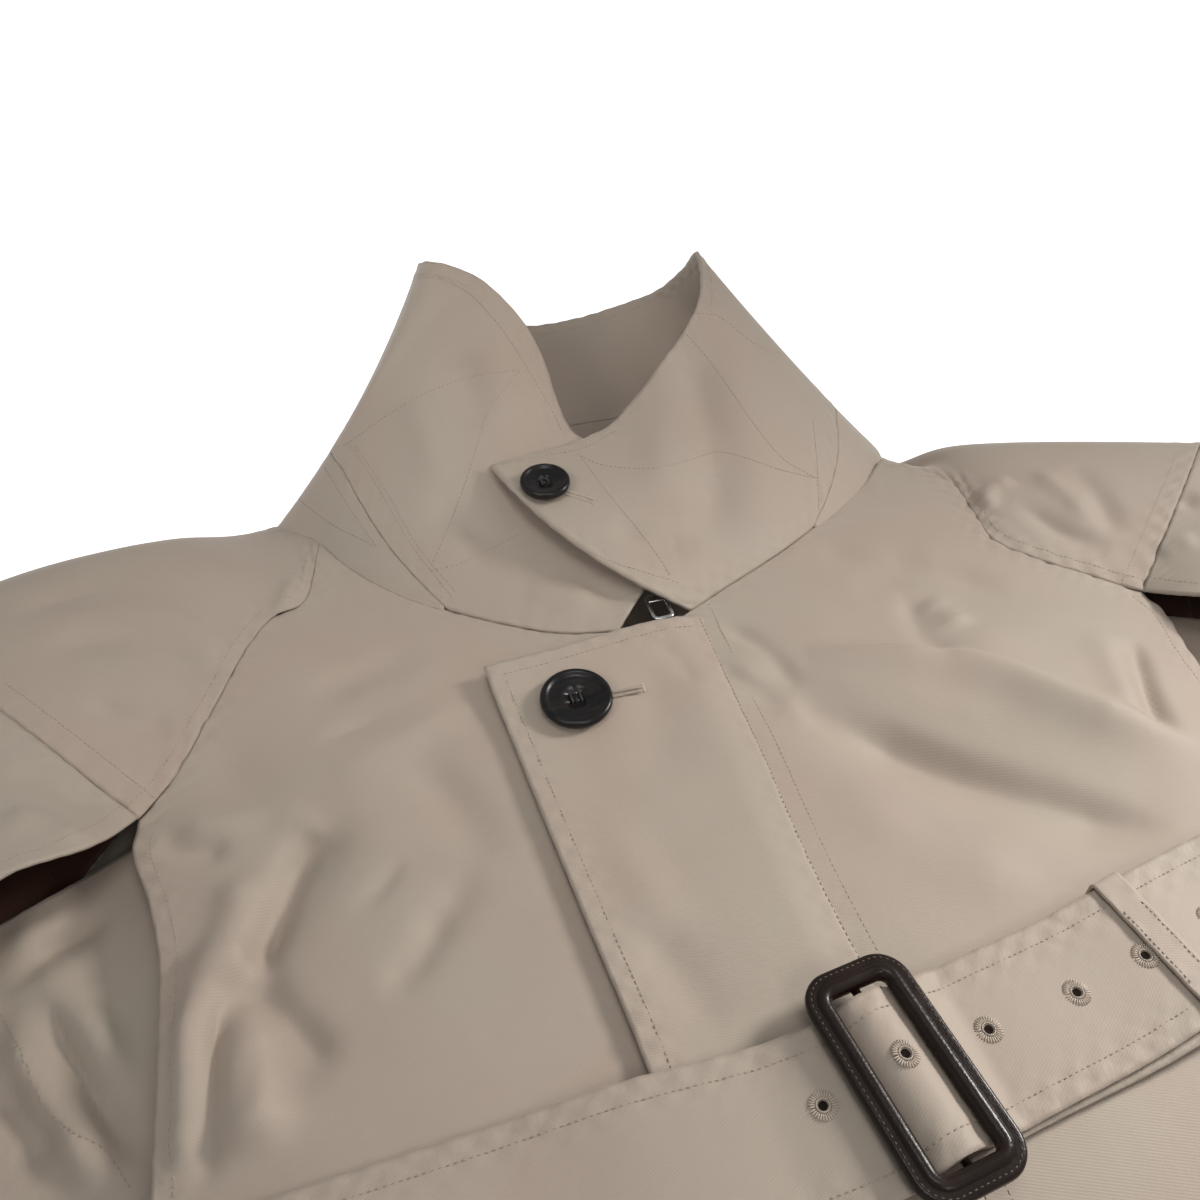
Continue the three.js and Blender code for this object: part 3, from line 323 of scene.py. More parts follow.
class CoatShape:
    """The heights of the coat's layers over the surface."""

    @staticmethod
    def front_edge(y: Array) -> Array:
        """Distance of a front's free side edge from the middle."""
        return SIDE_EDGE.read("y", "x", y)

    @staticmethod
    def soft(x: Array, y: Array) -> Array:
        """Slight unevenness of cloth that lies loose."""
        slow = np.sin(0.031 * x + 0.017 * y + 0.6) * np.sin(0.023 * y - 0.011 * x + 1.9)
        quick = np.sin(0.085 * x - 0.061 * y) * np.sin(0.047 * x + 0.093 * y + 0.8)
        return 0.45 * slow + 0.16 * quick

    @classmethod
    def front(cls, x: Array, y: Array) -> Array:
        """Height of the fronts' middle surface."""
        outwards = np.clip(np.abs(x) / cls.front_edge(y), 0, 1) ** 4
        height = mix(FRONT_HEIGHTS.read("y", "middle", y), FRONT_HEIGHTS.read("y", "side", y), outwards)
        near_neck = ease(-125, -95, y)
        fine = (lift_of(FINE_FRONT_FOLDS, x, y) + cls.soft(x, y)) * (1 - near_neck)
        return height + lift_of(FRONT_FOLDS, x, y) + fine

    @classmethod
    def flap(cls, x: Array, y: Array) -> Array:
        """Height of the storm flap's middle surface."""
        standing = 3.2 * np.exp(-(((y + 103) / 20) ** 2)) * (1 - ease(-20, 12, x) * 0.6)
        free_edge = 1.2 * (1 - ease(0, 25, x - FLAP_EDGES.read("y", "free", y)))
        past_seam = x - FLAP_EDGES.read("y", "sewn", y)
        sewn_down = ease(-16, 0, past_seam)
        turned_in = 1.9 * ease(-2.8, 0, past_seam)
        raised = mix(LAYER, 0.2, sewn_down) + standing * (1 - 0.5 * sewn_down)
        return cls.front(x, y) + raised + free_edge - turned_in

    @classmethod
    def side(cls, x: Array, y: Array) -> Array:
        """Height of the side panels' upper layer."""
        free = mix(SIDE_SLIT, SIDE_FOLD, ease(200, 260, np.abs(x)))
        tucked = cls.front(x, y) - SIDE_UNDER_FRONT
        sewn = mix(tucked, free, ease(0, 40, np.abs(x) - cls.front_edge(y)))
        lift = lift_of(SIDE_FOLDS, np.abs(x), y) * ease(188, 206, np.abs(x))
        return mix(sewn, free, ease(-460, -360, y)) + lift

    @staticmethod
    def belt_under(x: Array) -> Array:
        """The belt's middle line where it runs under the back."""
        (x1, y1), (x2, y2) = BELT_FRONT.rows[0], BELT_FRONT.rows[-1]
        return mix(y1, y2, (np.asarray(x, float) - x1) / (x2 - x1))

    @classmethod
    def floor(cls, x: Array, y: Array) -> Array:
        """Height of cloth that rests on the surface, lifted where the belt runs under it."""
        away = np.abs(y - cls.belt_under(x))
        half = BELT_SIZE.width / 2
        return FLOOR_LAYER + LAYER * (1 - ease(half + 5, half + 30, away))

    @classmethod
    def outer(cls, x: Array, y: Array) -> Array:
        """Height of the coat's upper surface, under the belt."""
        on_flap = ease(-48, -3, x - FLAP_EDGES.read("y", "free", y))
        on_flap = on_flap * (1 - ease(4, 16, x - FLAP_EDGES.read("y", "sewn", y)))
        edge = cls.front_edge(y)
        front = cls.front(np.clip(x, -edge, edge), y) + on_flap * (LAYER + 1.2)
        return mix(front, cls.side(x, y), ease(8, 48, np.abs(x) - edge)) + CLOTH / 2


@dataclass(frozen=True)
class BeltSize:
    """Sizes of the belt and its keeper."""

    width: float = 46.5
    cloth: float = 1.5
    clearance: float = 0.9
    start_x: float = 4
    tail_end: float = 165
    side_x: float = 264.5
    fold_round: float = 7
    keeper_x: float = 91
    keeper_width: float = 10
    keeper_clearance: float = 0.7
    keeper_lift: float = 1.6
    keeper_turn: float = 0.14


BELT_SIZE = BeltSize()


def filled_plan(top: Surface, bottom: Surface, inner: Surface, outer: Surface, u: Array, v: Array) -> Array:
    """Fill a panel in plan between four edges, each a function from 0 to 1."""
    u3, v3 = u[..., None], v[..., None]
    zero, one = np.zeros_like(u), np.ones_like(u)
    return (
        top(u) * (1 - v3) + bottom(u) * v3 + inner(v) * (1 - u3) + outer(v) * u3
        - top(zero) * (1 - u3) * (1 - v3) - top(one) * u3 * (1 - v3)
        - bottom(zero) * (1 - u3) * v3 - bottom(one) * u3 * v3
    )


FOLD_UPPER, FOLD_ROUND = 0.42, 0.66


def folded_section(row: dict[str, Array], v: Array) -> Array:
    """Cloth that folds over at one side: upper layer, round fold and lower layer.

    Args:
        row: Plan places of the front edge, fold and back edge, with their heights.
        v: Share from the front edge, over the fold, to the back edge.

    Returns:
        The points of the section.
    """
    front, fold, back = (
        np.stack(np.broadcast_arrays(row[k + "X"], row[k + "Y"]), -1) + np.zeros((*v.shape, 2))
        for k in ("front", "fold", "back")
    )
    to_front, to_back = unit(front - fold), unit(back - fold)
    low = FLOOR_LAYER
    rnd = np.asarray(row["round"], float)
    t = np.clip(v / FOLD_UPPER, 0, 1)
    upper = mix(front, fold + to_front * rnd[..., None], t[..., None])
    upper_z = mix(row["front"], row["crest"], np.sin(np.pi / 2 * t))
    t = np.clip((v - FOLD_ROUND) / (1 - FOLD_ROUND), 0, 1)
    lower = mix(fold + to_back * rnd[..., None], back, t[..., None])
    angle = mix(np.pi / 2, -np.pi / 2, np.clip((v - FOLD_UPPER) / (FOLD_ROUND - FOLD_UPPER), 0, 1))
    inwards = unit(mix(to_front, to_back, ((1 - np.sin(angle)) / 2)[..., None]))
    bend = fold + inwards * (rnd * (1 - np.cos(angle)))[..., None]
    bend_z = (row["crest"] + low) / 2 + (row["crest"] - low) / 2 * np.sin(angle)
    is_upper, is_lower = v < FOLD_UPPER, v > FOLD_ROUND
    plan = np.where(is_upper[..., None], upper, np.where(is_lower[..., None], lower, bend))
    z = np.where(is_upper, upper_z, np.where(is_lower, low, bend_z))
    return np.concatenate([plan, z[..., None]], -1)


def collar_point(station: Array, share: Array) -> Array:
    """A point of the collar's middle surface."""
    base, middle, edge = (
        stack(*(COLLAR.read("station", letter + axis, station) for axis in "xyz")) for letter in "bmt"
    )
    s = np.asarray(share, float)[..., None]
    return base * (1 - s) * (1 - 2 * s) + middle * 4 * s * (1 - s) + edge * s * (2 * s - 1)


def stand_seam(station: Array) -> Array:
    """Where the fall is sewn to the stand, as a share of the collar's height."""
    inside = (station > STAND_SEAM.rows[0][0]) & (station < STAND_SEAM.rows[-1][0])
    return np.where(inside, np.maximum(STAND_SEAM.read("station", "share", station), 0), 0)


def neck_curve(ends: tuple[float, float], count: int, before: Sequence[Sequence[float]] = ()) -> PlanCurve:
    """The neck seam in plan between two stations."""
    stations = np.linspace(*ends, count + 1)
    return PlanCurve([*before, *collar_point(stations, np.zeros(count + 1))])


# Creases that the photograph shows, in its pixels, with heights and half widths in millimetres
CREASE_HEIGHT, CREASE_WIDTH = 1.5, 0.82


def crease_set(*rows: tuple) -> tuple[Crease, ...]:
    """Creases from rows of height, half width to each side, and places of the photograph."""
    return tuple(
        Crease(tuple(places), CREASE_HEIGHT * height, CREASE_WIDTH * half, CREASE_WIDTH * other)
        for height, half, other, *places in rows
    )


# Materials


class Nodes:
    """A short way to write a node material."""

    def __init__(self, name: str) -> None:
        """Start a material with a plain surface shader."""
        self.material = bpy.data.materials.new(name)
        self.material.use_nodes = True
        self.tree = self.material.node_tree
        self.shader = self.tree.nodes["Principled BSDF"]

    def add(
        self, kind: str, inputs: dict[str | int, object] | None = None, **settings: object
    ) -> bpy.types.Node:
        """Add a node.

        Args:
            kind: The node's type without its ShaderNode prefix.
            inputs: Values or output sockets for its inputs, by name or number.
            **settings: Attributes to set on the node.

        Returns:
            The new node.
        """
        node = self.tree.nodes.new("ShaderNode" + kind)
        for key, value in settings.items():
            setattr(node, key, value)
        for key, value in (inputs or {}).items():
            self.put(node.inputs[key], value)
        return node

    def put(self, socket: bpy.types.NodeSocket, value: object) -> None:
        """Link an output to an input, or set the input's own value."""
        if isinstance(value, bpy.types.NodeSocket):
            self.tree.links.new(value, socket)
        else:
            socket.default_value = value

    def maths(self, operation: str, a: object, b: object = 0.0, c: object = 0.0) -> bpy.types.NodeSocket:
        """The output of a Math node."""
        return self.add("Math", {0: a, 1: b, 2: c}, operation=operation).outputs[0]

    def place(self) -> bpy.types.NodeSocket:
        """Places on the piece, in metres."""
        return self.add("TexCoord").outputs["Object"]

    def flat(self) -> bpy.types.NodeSocket:
        """Places on the cloth's flat map, in millimetres."""
        return self.add("UVMap", uv_map="flat").outputs[0]

    def noise(self, place: object, scale: float, detail: float | None = None,
              roughness: float | None = None) -> bpy.types.NodeSocket:
        """Soft noise at places."""
        inputs = {"Vector": place, "Scale": scale, "Detail": detail, "Roughness": roughness}
        given = {key: value for key, value in inputs.items() if value is not None}
        return self.add("TexNoise", given).outputs["Fac"]

    def blend(self, share: object, low: object, high: object) -> bpy.types.NodeSocket:
        """A mix of two colours, each an output or its three shares of light."""
        a, b = ((*c, 1) if isinstance(c, tuple) else c for c in (low, high))
        return self.add("MixRGB", {"Fac": share, "Color1": a, "Color2": b}).outputs[0]

    def bump(
        self, strength: float, depth: float, height: object, under: object = None
    ) -> bpy.types.NodeSocket:
        """A bumpy normal of a depth in metres, over another where one is given."""
        inputs = {"Strength": strength, "Distance": depth, "Height": height}
        if under is not None:
            inputs["Normal"] = under
        return self.add("Bump", inputs).outputs[0]

    def surface(self, **values: object) -> bpy.types.Material:
        """Set or link the shader's inputs, given with _ for spaces, and return the material."""
        for key, value in values.items():
            self.put(self.shader.inputs[key.replace("_", " ")], value)
        return self.material


@dataclass(frozen=True)
class Twill:
    """Cotton twill with a soft sheen: diagonal ribs, fine yarns and a faint unevenness."""

    name: str
    light: tuple[float, float, float]
    dark: tuple[float, float, float]
    cool: tuple[float, float, float] = (0.385, 0.338, 0.272)
    rib_mm: float = 0.8
    rib_angle: float = 63
    rib_bump: float = 0.32
    WAVE = 3.18

    def material(self) -> bpy.types.Material:
        """Build the cloth's material on the piece's own map, which is in millimetres."""
        n = Nodes(self.name)
        flat = n.flat()
        turn = (0, 0, math.radians(self.rib_angle))
        turned = n.add("Mapping", {"Vector": flat, "Rotation": turn}).outputs[0]
        ribs = n.add("TexWave", {"Vector": turned, "Scale": 1 / (self.rib_mm * self.WAVE), "Distortion": 0.6,
                                 "Detail": 1.0, "Detail Scale": 2.0}, wave_profile="SIN").outputs["Fac"]
        yarn = n.noise(flat, 1.9, 3.0, 0.6)
        clouds = n.noise(flat, 0.022, 4.0, 0.55)
        tone = n.maths("MULTIPLY_ADD", clouds, 0.55, n.maths("MULTIPLY", yarn, 0.35))
        tone = n.maths("MULTIPLY_ADD", ribs, 0.16, tone)
        plain = n.blend(n.maths("SUBTRACT", tone, 0.03), self.dark, self.light)
        drift, fleck = n.noise(flat, 0.011, 2.0), n.noise(flat, 0.8, 1.0)
        away = n.maths("SUBTRACT", drift, 0.42)
        cooler = n.maths("MULTIPLY_ADD", away, 2.2, n.maths("MULTIPLY", fleck, 0.35))
        height = n.maths("MULTIPLY_ADD", yarn, 0.3, n.maths("MULTIPLY", ribs, 0.7))
        weave = n.bump(self.rib_bump, 0.00012, height)
        soft = n.bump(0.28, 0.0011, n.noise(flat, 0.06, 3.0, 0.5), weave)
        near = n.add("Attribute", attribute_name="seam").outputs["Fac"]
        drawn = n.bump(0.5, 0.0012, n.maths("MULTIPLY", n.noise(flat, 0.2, 2.0), near), soft)
        return n.surface(
            Base_Color=n.blend(cooler, plain, self.cool),
            Roughness=n.maths("MULTIPLY_ADD", yarn, 0.12, 0.55), Normal=drawn,
            Specular_IOR_Level=0.34, Sheen_Weight=0.22, Sheen_Roughness=0.45,
            Sheen_Tint=(0.95, 0.88, 0.82, 1),
        )


@dataclass(frozen=True)
class Shade:
    """Painted shade for the inside of an eyelet's hole: a matt near-black colour."""

    name: str = "eyelet_hole"
    dark: tuple[float, float, float] = (0.004, 0.003, 0.003)
    light: tuple[float, float, float] = (0.03, 0.022, 0.017)

    def material(self) -> bpy.types.Material:
        """Build the hole's material."""
        n = Nodes(self.name)
        colour = n.blend(n.noise(n.place(), 900.0), self.dark, self.light)
        return n.surface(Base_Color=colour, Roughness=1.0, Specular_IOR_Level=0.0)


@dataclass(frozen=True)
class Lining:
    """The inner side of the sleeves and shoulder pieces, coloured very dark brown."""

    name: str = "sleeve_inside"
    dark: tuple[float, float, float] = (0.045, 0.018, 0.010)
    light: tuple[float, float, float] = (0.085, 0.036, 0.020)

    def material(self) -> bpy.types.Material:
        """Build the inner side's material."""
        n = Nodes(self.name)
        weave = n.noise(n.flat(), 1.2, 3.0)
        colour, bump = n.blend(weave, self.dark, self.light), n.bump(0.2, 0.0001, weave)
        return n.surface(Base_Color=colour, Roughness=0.42, Normal=bump, Sheen_Weight=0.15)


@dataclass(frozen=True)
class Thread:
    """Sewing thread, a little shiny, with its twist."""

    name: str
    colour: tuple[float, float, float]
    # dark: the twist's darker tone; in the tan topstitching it is also painted shade on each stitch.
    dark: tuple[float, float, float]

    def material(self) -> bpy.types.Material:
        """Build the thread's material."""
        n = Nodes(self.name)
        twist = n.noise(n.place(), 2600.0, 2.0)
        colour, bump = n.blend(twist, self.dark, self.colour), n.bump(0.4, 0.00008, twist)
        return n.surface(Base_Color=colour, Roughness=0.5, Normal=bump, Sheen_Weight=0.2)


@dataclass(frozen=True)
class Horn:
    """Dark polished horn with faint brown streaks."""

    name: str = "dark_horn"
    dark: tuple[float, float, float] = (0.004, 0.0035, 0.0035)
    streak: tuple[float, float, float] = (0.020, 0.013, 0.010)
    roughness: float = 0.24

    def material(self) -> bpy.types.Material:
        """Build the horn's material."""
        n = Nodes(self.name)
        place = n.place()
        stretched = n.add("Mapping", {"Vector": place, "Scale": (60, 420, 200)}).outputs[0]
        share = n.add("ValToRGB", {0: n.noise(stretched, 1.0, 4.0)})
        ends = ((0.45, self.dark), (0.8, self.streak))
        for end, (position, colour) in zip(share.color_ramp.elements, ends):
            end.position, end.color = position, (*colour, 1)
        fine = n.noise(place, 900.0, 2.0)
        return n.surface(
            Base_Color=share.outputs[0], Roughness=n.maths("MULTIPLY_ADD", fine, 0.12, self.roughness),
            Normal=n.bump(0.12, 0.00006, fine), Specular_IOR_Level=0.3, Coat_Weight=0.12,
            Coat_Roughness=0.2,
        )


@dataclass(frozen=True)
class Leather:
    """Polished dark leather with a fine grain."""

    name: str = "buckle_cover"
    dark: tuple[float, float, float] = (0.008, 0.0045, 0.003)
    light: tuple[float, float, float] = (0.020, 0.010, 0.006)

    def material(self) -> bpy.types.Material:
        """Build the leather's material."""
        n = Nodes(self.name)
        place = n.place()
        cells = n.add("TexVoronoi", {"Vector": place, "Scale": 1300.0}).outputs["Distance"]
        tone = n.noise(place, 130.0, 4.0)
        waves = n.bump(0.5, 0.0004, tone, n.bump(0.3, 0.00012, cells))
        return n.surface(
            Base_Color=n.blend(tone, self.dark, self.light),
            Roughness=n.maths("MULTIPLY_ADD", tone, 0.25, 0.2), Normal=waves,
            Specular_IOR_Level=0.22, Coat_Weight=0.1, Coat_Roughness=0.12,
        )


@dataclass(frozen=True)
class Metal:
    """Polished nickel with fine scratches."""

    name: str = "nickel"
    colour: tuple[float, float, float] = (0.78, 0.78, 0.77)

    def material(self) -> bpy.types.Material:
        """Build the metal's material."""
        n = Nodes(self.name)
        marks = n.noise(n.place(), 700.0, 5.0)
        tint = n.blend(marks, tuple(c * 0.8 for c in self.colour), self.colour)
        rough = n.maths("MULTIPLY_ADD", marks, 0.25, 0.12)
        return n.surface(Base_Color=tint, Roughness=rough, Metallic=1.0)


@dataclass(frozen=True)
class Floor:
    """A plain pale surface."""

    name: str = "pale_floor"
    glow: float = 0.78

    def material(self) -> bpy.types.Material:
        """Build the floor's material."""
        n = Nodes(self.name)
        colour = n.blend(n.noise(n.place(), 3.0, 2.0), (0.93,) * 3, (0.95,) * 3)
        return n.surface(Base_Color=colour, Roughness=0.9, Specular_IOR_Level=0.1,
                         Emission_Color=(1, 1, 1, 1), Emission_Strength=self.glow)


# Placing pieces


def to_frame(points: Array) -> Array:
    """Coat points in millimetres as points of the frame in metres."""
    return (points + np.array([0.0, SHIFT_Y, 0.0])) * MM


def solid_box(node: str) -> tuple[Vector, Vector]:
    """A solid's lowest and highest corners, in millimetres of the frame."""
    low, high = (Vector(v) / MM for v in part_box(node))
    return low, high


def finish_piece(
    obj: bpy.types.Object, material: bpy.types.Material, slot: Slot, replaces: Sequence[str] = (),
    body: Body = Body.COAT, smooth: bool = True,
) -> bpy.types.Object:
    """Give a piece its material, its body and the nodes that it stands for.

    Args:
        obj: The piece, in place.
        material: Its material.
        slot: The record's slot for its finish; not used.
        replaces: CAD nodes that it stands for.
        body: The body that it rides on.
        smooth: Whether its faces are shaded smooth.

    Returns:
        The same piece.
    """
    obj.data.materials.clear()
    obj.data.materials.append(material)
    obj.data.polygons.foreach_set("use_smooth", [smooth] * len(obj.data.polygons))
    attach(obj, body.value)
    if replaces:
        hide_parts(*replaces)
    LOG.info("%s: %d faces", obj.name, len(obj.data.polygons))
    return obj


def new_object(name: str, bm: bmesh.types.BMesh) -> bpy.types.Object:
    """Turn a bmesh into an object of the scene and free the bmesh."""
    mesh = bpy.data.meshes.new(name)
    bm.to_mesh(mesh)
    bm.free()
    obj = bpy.data.objects.new(name, mesh)
    bpy.context.scene.collection.objects.link(obj)
    return obj


def spacing(start: float, end: float, fine: float, coarse: float, fine_to: float) -> Array:
    """Places from start to end, fine up to fine_to and coarse after it."""
    first = max(2, math.ceil(abs(fine_to - start) / fine))
    second = max(1, math.ceil(abs(end - fine_to) / coarse))
    near, far = np.linspace(start, fine_to, first, endpoint=False), np.linspace(fine_to, end, second + 1)
    return np.concatenate([near, far])


def runs(*parts: tuple[float, float, int]) -> Array:
    """Places along several runs, each from a start to an end with a count, joined without repeats."""
    first, *others = (np.linspace(*part) for part in parts)
    return np.concatenate([first, *(other[1:] for other in others)])


@dataclass(frozen=True)
class Crease:
    """A soft uneven ridge, or a trough where its height is negative, under a line of the photograph."""

    pixels: tuple[tuple[float, float], ...]
    height: float
    half: float
    other_half: float = 0.0

    def lift(self, points: Array, line: Array, out: Array) -> Array:
        """How far the crease lifts points near its line.

        Args:
            points: Places on the cloth.
            line: The crease's places on the cloth.
            out: The cloth's direction outwards at the line.

        Returns:
            The lift at each point.
        """
        best = np.full(points.shape[:-1], 1e9)
        lift = np.zeros(points.shape[:-1])
        count = len(line) - 1
        for k in range(count):
            way = line[k + 1] - line[k]
            t = np.clip((points - line[k]) @ way / (way @ way), 0, 1)
            away = points - line[k] - t[..., None] * way
            distance = np.linalg.norm(away, axis=-1)
            share = (k + t) / count
            strength = np.clip(4 * share, 0, 1) * np.clip(4 * (1 - share), 0, 1)
            strength = strength * (1 + 0.22 * np.sin(9 * share + self.pixels[0][0]))
            across = away @ unit(np.cross(out[k], way))
            half = mix(self.other_half or self.half, self.half, ease(-2, 2, across))
            nearer = distance < best
            best = np.where(nearer, distance, best)
            lift = np.where(nearer, strength * self.height * np.exp(-((distance / half) ** 2)), lift)
        return lift


@dataclass
class ClothPanel:
    """One cut piece of cloth: a thin shell round a surface with its own flat map."""

    name: str
    surface: Surface
    across: Array
    along: Array
    thickness: float = 1.1
    pucker: float = 0.4

    def __post_init__(self) -> None:
        """Work out the panel's points and flat map."""
        u, v = np.meshgrid(self.across, self.along, indexing="ij")
        self.points = self.surface(u, v)
        steps_u = np.linalg.norm(np.diff(self.points, axis=0), axis=-1)
        steps_v = np.linalg.norm(np.diff(self.points, axis=1), axis=-1)
        flat_u = np.concatenate([np.zeros((1, len(self.along))), np.cumsum(steps_u, axis=0)])
        flat_v = np.concatenate([np.zeros((len(self.across), 1)), np.cumsum(steps_v, axis=1)], axis=1)
        middle, centre = len(self.along) // 2, len(self.across) // 2
        flat_u = flat_u - flat_u[centre]
        flat_v = flat_v - flat_v[:, middle : middle + 1] + flat_v[centre, middle]
        self.flat = np.stack([flat_u, flat_v], -1)
        self.seam = np.zeros(u.shape)

    def reach(self) -> tuple[float, float]:
        """The flat cut's width and length in metres."""
        p = self.points
        wide = np.linalg.norm(np.diff(p, axis=0), axis=-1).sum(0).max()
        long = np.linalg.norm(np.diff(p, axis=1), axis=-1).sum(1).max()
        return float(wide) * MM, float(long) * MM

    def tree(self) -> BVHTree:
        """The panel's surface for finding places on it."""
        n_u, n_v = self.points.shape[:2]
        first = (np.arange(n_u - 1)[:, None] * n_v + np.arange(n_v - 1)).ravel()
        quads = np.stack([first, first + n_v, first + n_v + 1, first + 1], -1)
        return BVHTree.FromPolygons(self.points.reshape(-1, 3).tolist(), quads.tolist())

    def crease(self, creases: Sequence[Crease], mask: Surface | None = None) -> None:
        """Press creases into the cloth, each where the camera sees its line.

        Args:
            creases: The creases.
            mask: A weight for places in plan, such as 0 under the belt.
        """
        tree, view = self.tree(), Studio()
        eye = Vector(view.place)
        out = unit(facing(self.points))
        flip = np.sign((out * (np.array(view.place) - self.points)).sum(-1).mean())
        total = np.zeros(self.points.shape[:-1])
        for crease in creases:
            line, normals = [], []
            for place in PlanCurve(crease.pixels).at(np.linspace(0, 1, 26)):
                ray = Vector(view.ray(place[0], place[1]))
                hit, normal, _, _ = tree.ray_cast(eye, ray)
                if hit is not None:
                    line.append(hit)
                    normals.append(normal if normal.dot(ray) < 0 else -normal)
            if len(line) > 3:
                total += crease.lift(self.points, np.array(line), np.array(normals))
        if mask is not None:
            total = total * mask(self.points[..., 0], self.points[..., 1])
        self.points = self.points + out * (flip * total)[..., None]

    def draw_up(self, depth: float = 0.3) -> None:
        """Pucker the cloth a little where it is sewn."""
        p = self.points
        out = unit(facing(p))
        a, b = self.flat[..., 0], self.flat[..., 1]
        wave = np.sin(0.62 * a + 1.4 * np.sin(0.11 * b)) * np.sin(0.66 * b + 1.1 * np.sin(0.13 * a))
        self.points = p + out * (depth * self.seam * wave)[..., None]

    def near_edges(
        self, low_u: float, high_u: float, low_v: float, high_v: float, reach: float = 9.0
    ) -> None:
        """Mark the cloth near the edges that are sewn, each given as a strength from 0 to 1."""
        p = self.points
        for strength, line in ((low_u, p[0]), (high_u, p[-1]), (low_v, p[:, 0]), (high_v, p[:, -1])):
            if strength:
                self.near_line(line, strength, reach)

    def near_line(self, line: Array, strength: float, reach: float = 6.0) -> None:
        """Mark the cloth near a line of points."""
        step = max(1, len(line) // 120)
        thin = line[::step]
        away = np.full(self.seam.shape, 1e9)
        for a in thin:
            away = np.minimum(away, np.linalg.norm(self.points - a, axis=-1))
        self.seam = np.maximum(self.seam, strength * np.exp(-((away / reach) ** 2)))

    def build(self, material: bpy.types.Material, replaces: Sequence[str], rests_on: Sequence[str],
              held: str = "laid", inner: bpy.types.Material | None = None) -> bpy.types.Object:
        """Make the shell and give it its finish.

        Args:
            material: The cloth's material.
            inner: The finish of its inner side, where that differs.
            replaces: The CAD nodes that it stands for.
            rests_on: Names of what it lies on; not used.
            held: How the cloth is held; not used.

        Returns:
            The panel's object.
        """
        self.draw_up(self.pucker)
        n_u, n_v = len(self.across), len(self.along)
        bm = bmesh.new()
        bmesh.ops.create_grid(bm, x_segments=n_u - 1, y_segments=n_v - 1, size=1.0)
        obj = new_object(self.name, bm)
        mesh = obj.data
        co = np.zeros(len(mesh.vertices) * 3)
        mesh.vertices.foreach_get("co", co)
        co = co.reshape(-1, 3)
        low, high = co.min(0), co.max(0)
        i = np.rint((co[:, 0] - low[0]) / (high[0] - low[0]) * (n_u - 1)).astype(int)
        j = np.rint((co[:, 1] - low[1]) / (high[1] - low[1]) * (n_v - 1)).astype(int)
        mesh.vertices.foreach_set("co", to_frame(self.points[i, j]).ravel())
        seam = mesh.attributes.new("seam", "FLOAT", "POINT")
        seam.data.foreach_set("value", self.seam[i, j].astype(np.float32))
        corner = np.zeros(len(mesh.loops), np.int32)
        mesh.loops.foreach_get("vertex_index", corner)
        flat = self.flat[i, j][corner].astype(np.float32)
        mesh.uv_layers.new(name="flat").data.foreach_set("uv", flat.ravel())
        mesh.update()
        if facing(self.points)[: n_u // 3, :, 2].mean() < 0:
            mesh.flip_normals()
        shell = obj.modifiers.new("cloth", "SOLIDIFY")
        shell.thickness, shell.offset = self.thickness * MM, 0.0
        finish_piece(obj, material, Slot.CLOTH, replaces)
        if inner:
            obj.data.materials.append(inner)
            shell.material_offset = 1
        width, length = (round(side, 4) for side in self.reach())
        return obj


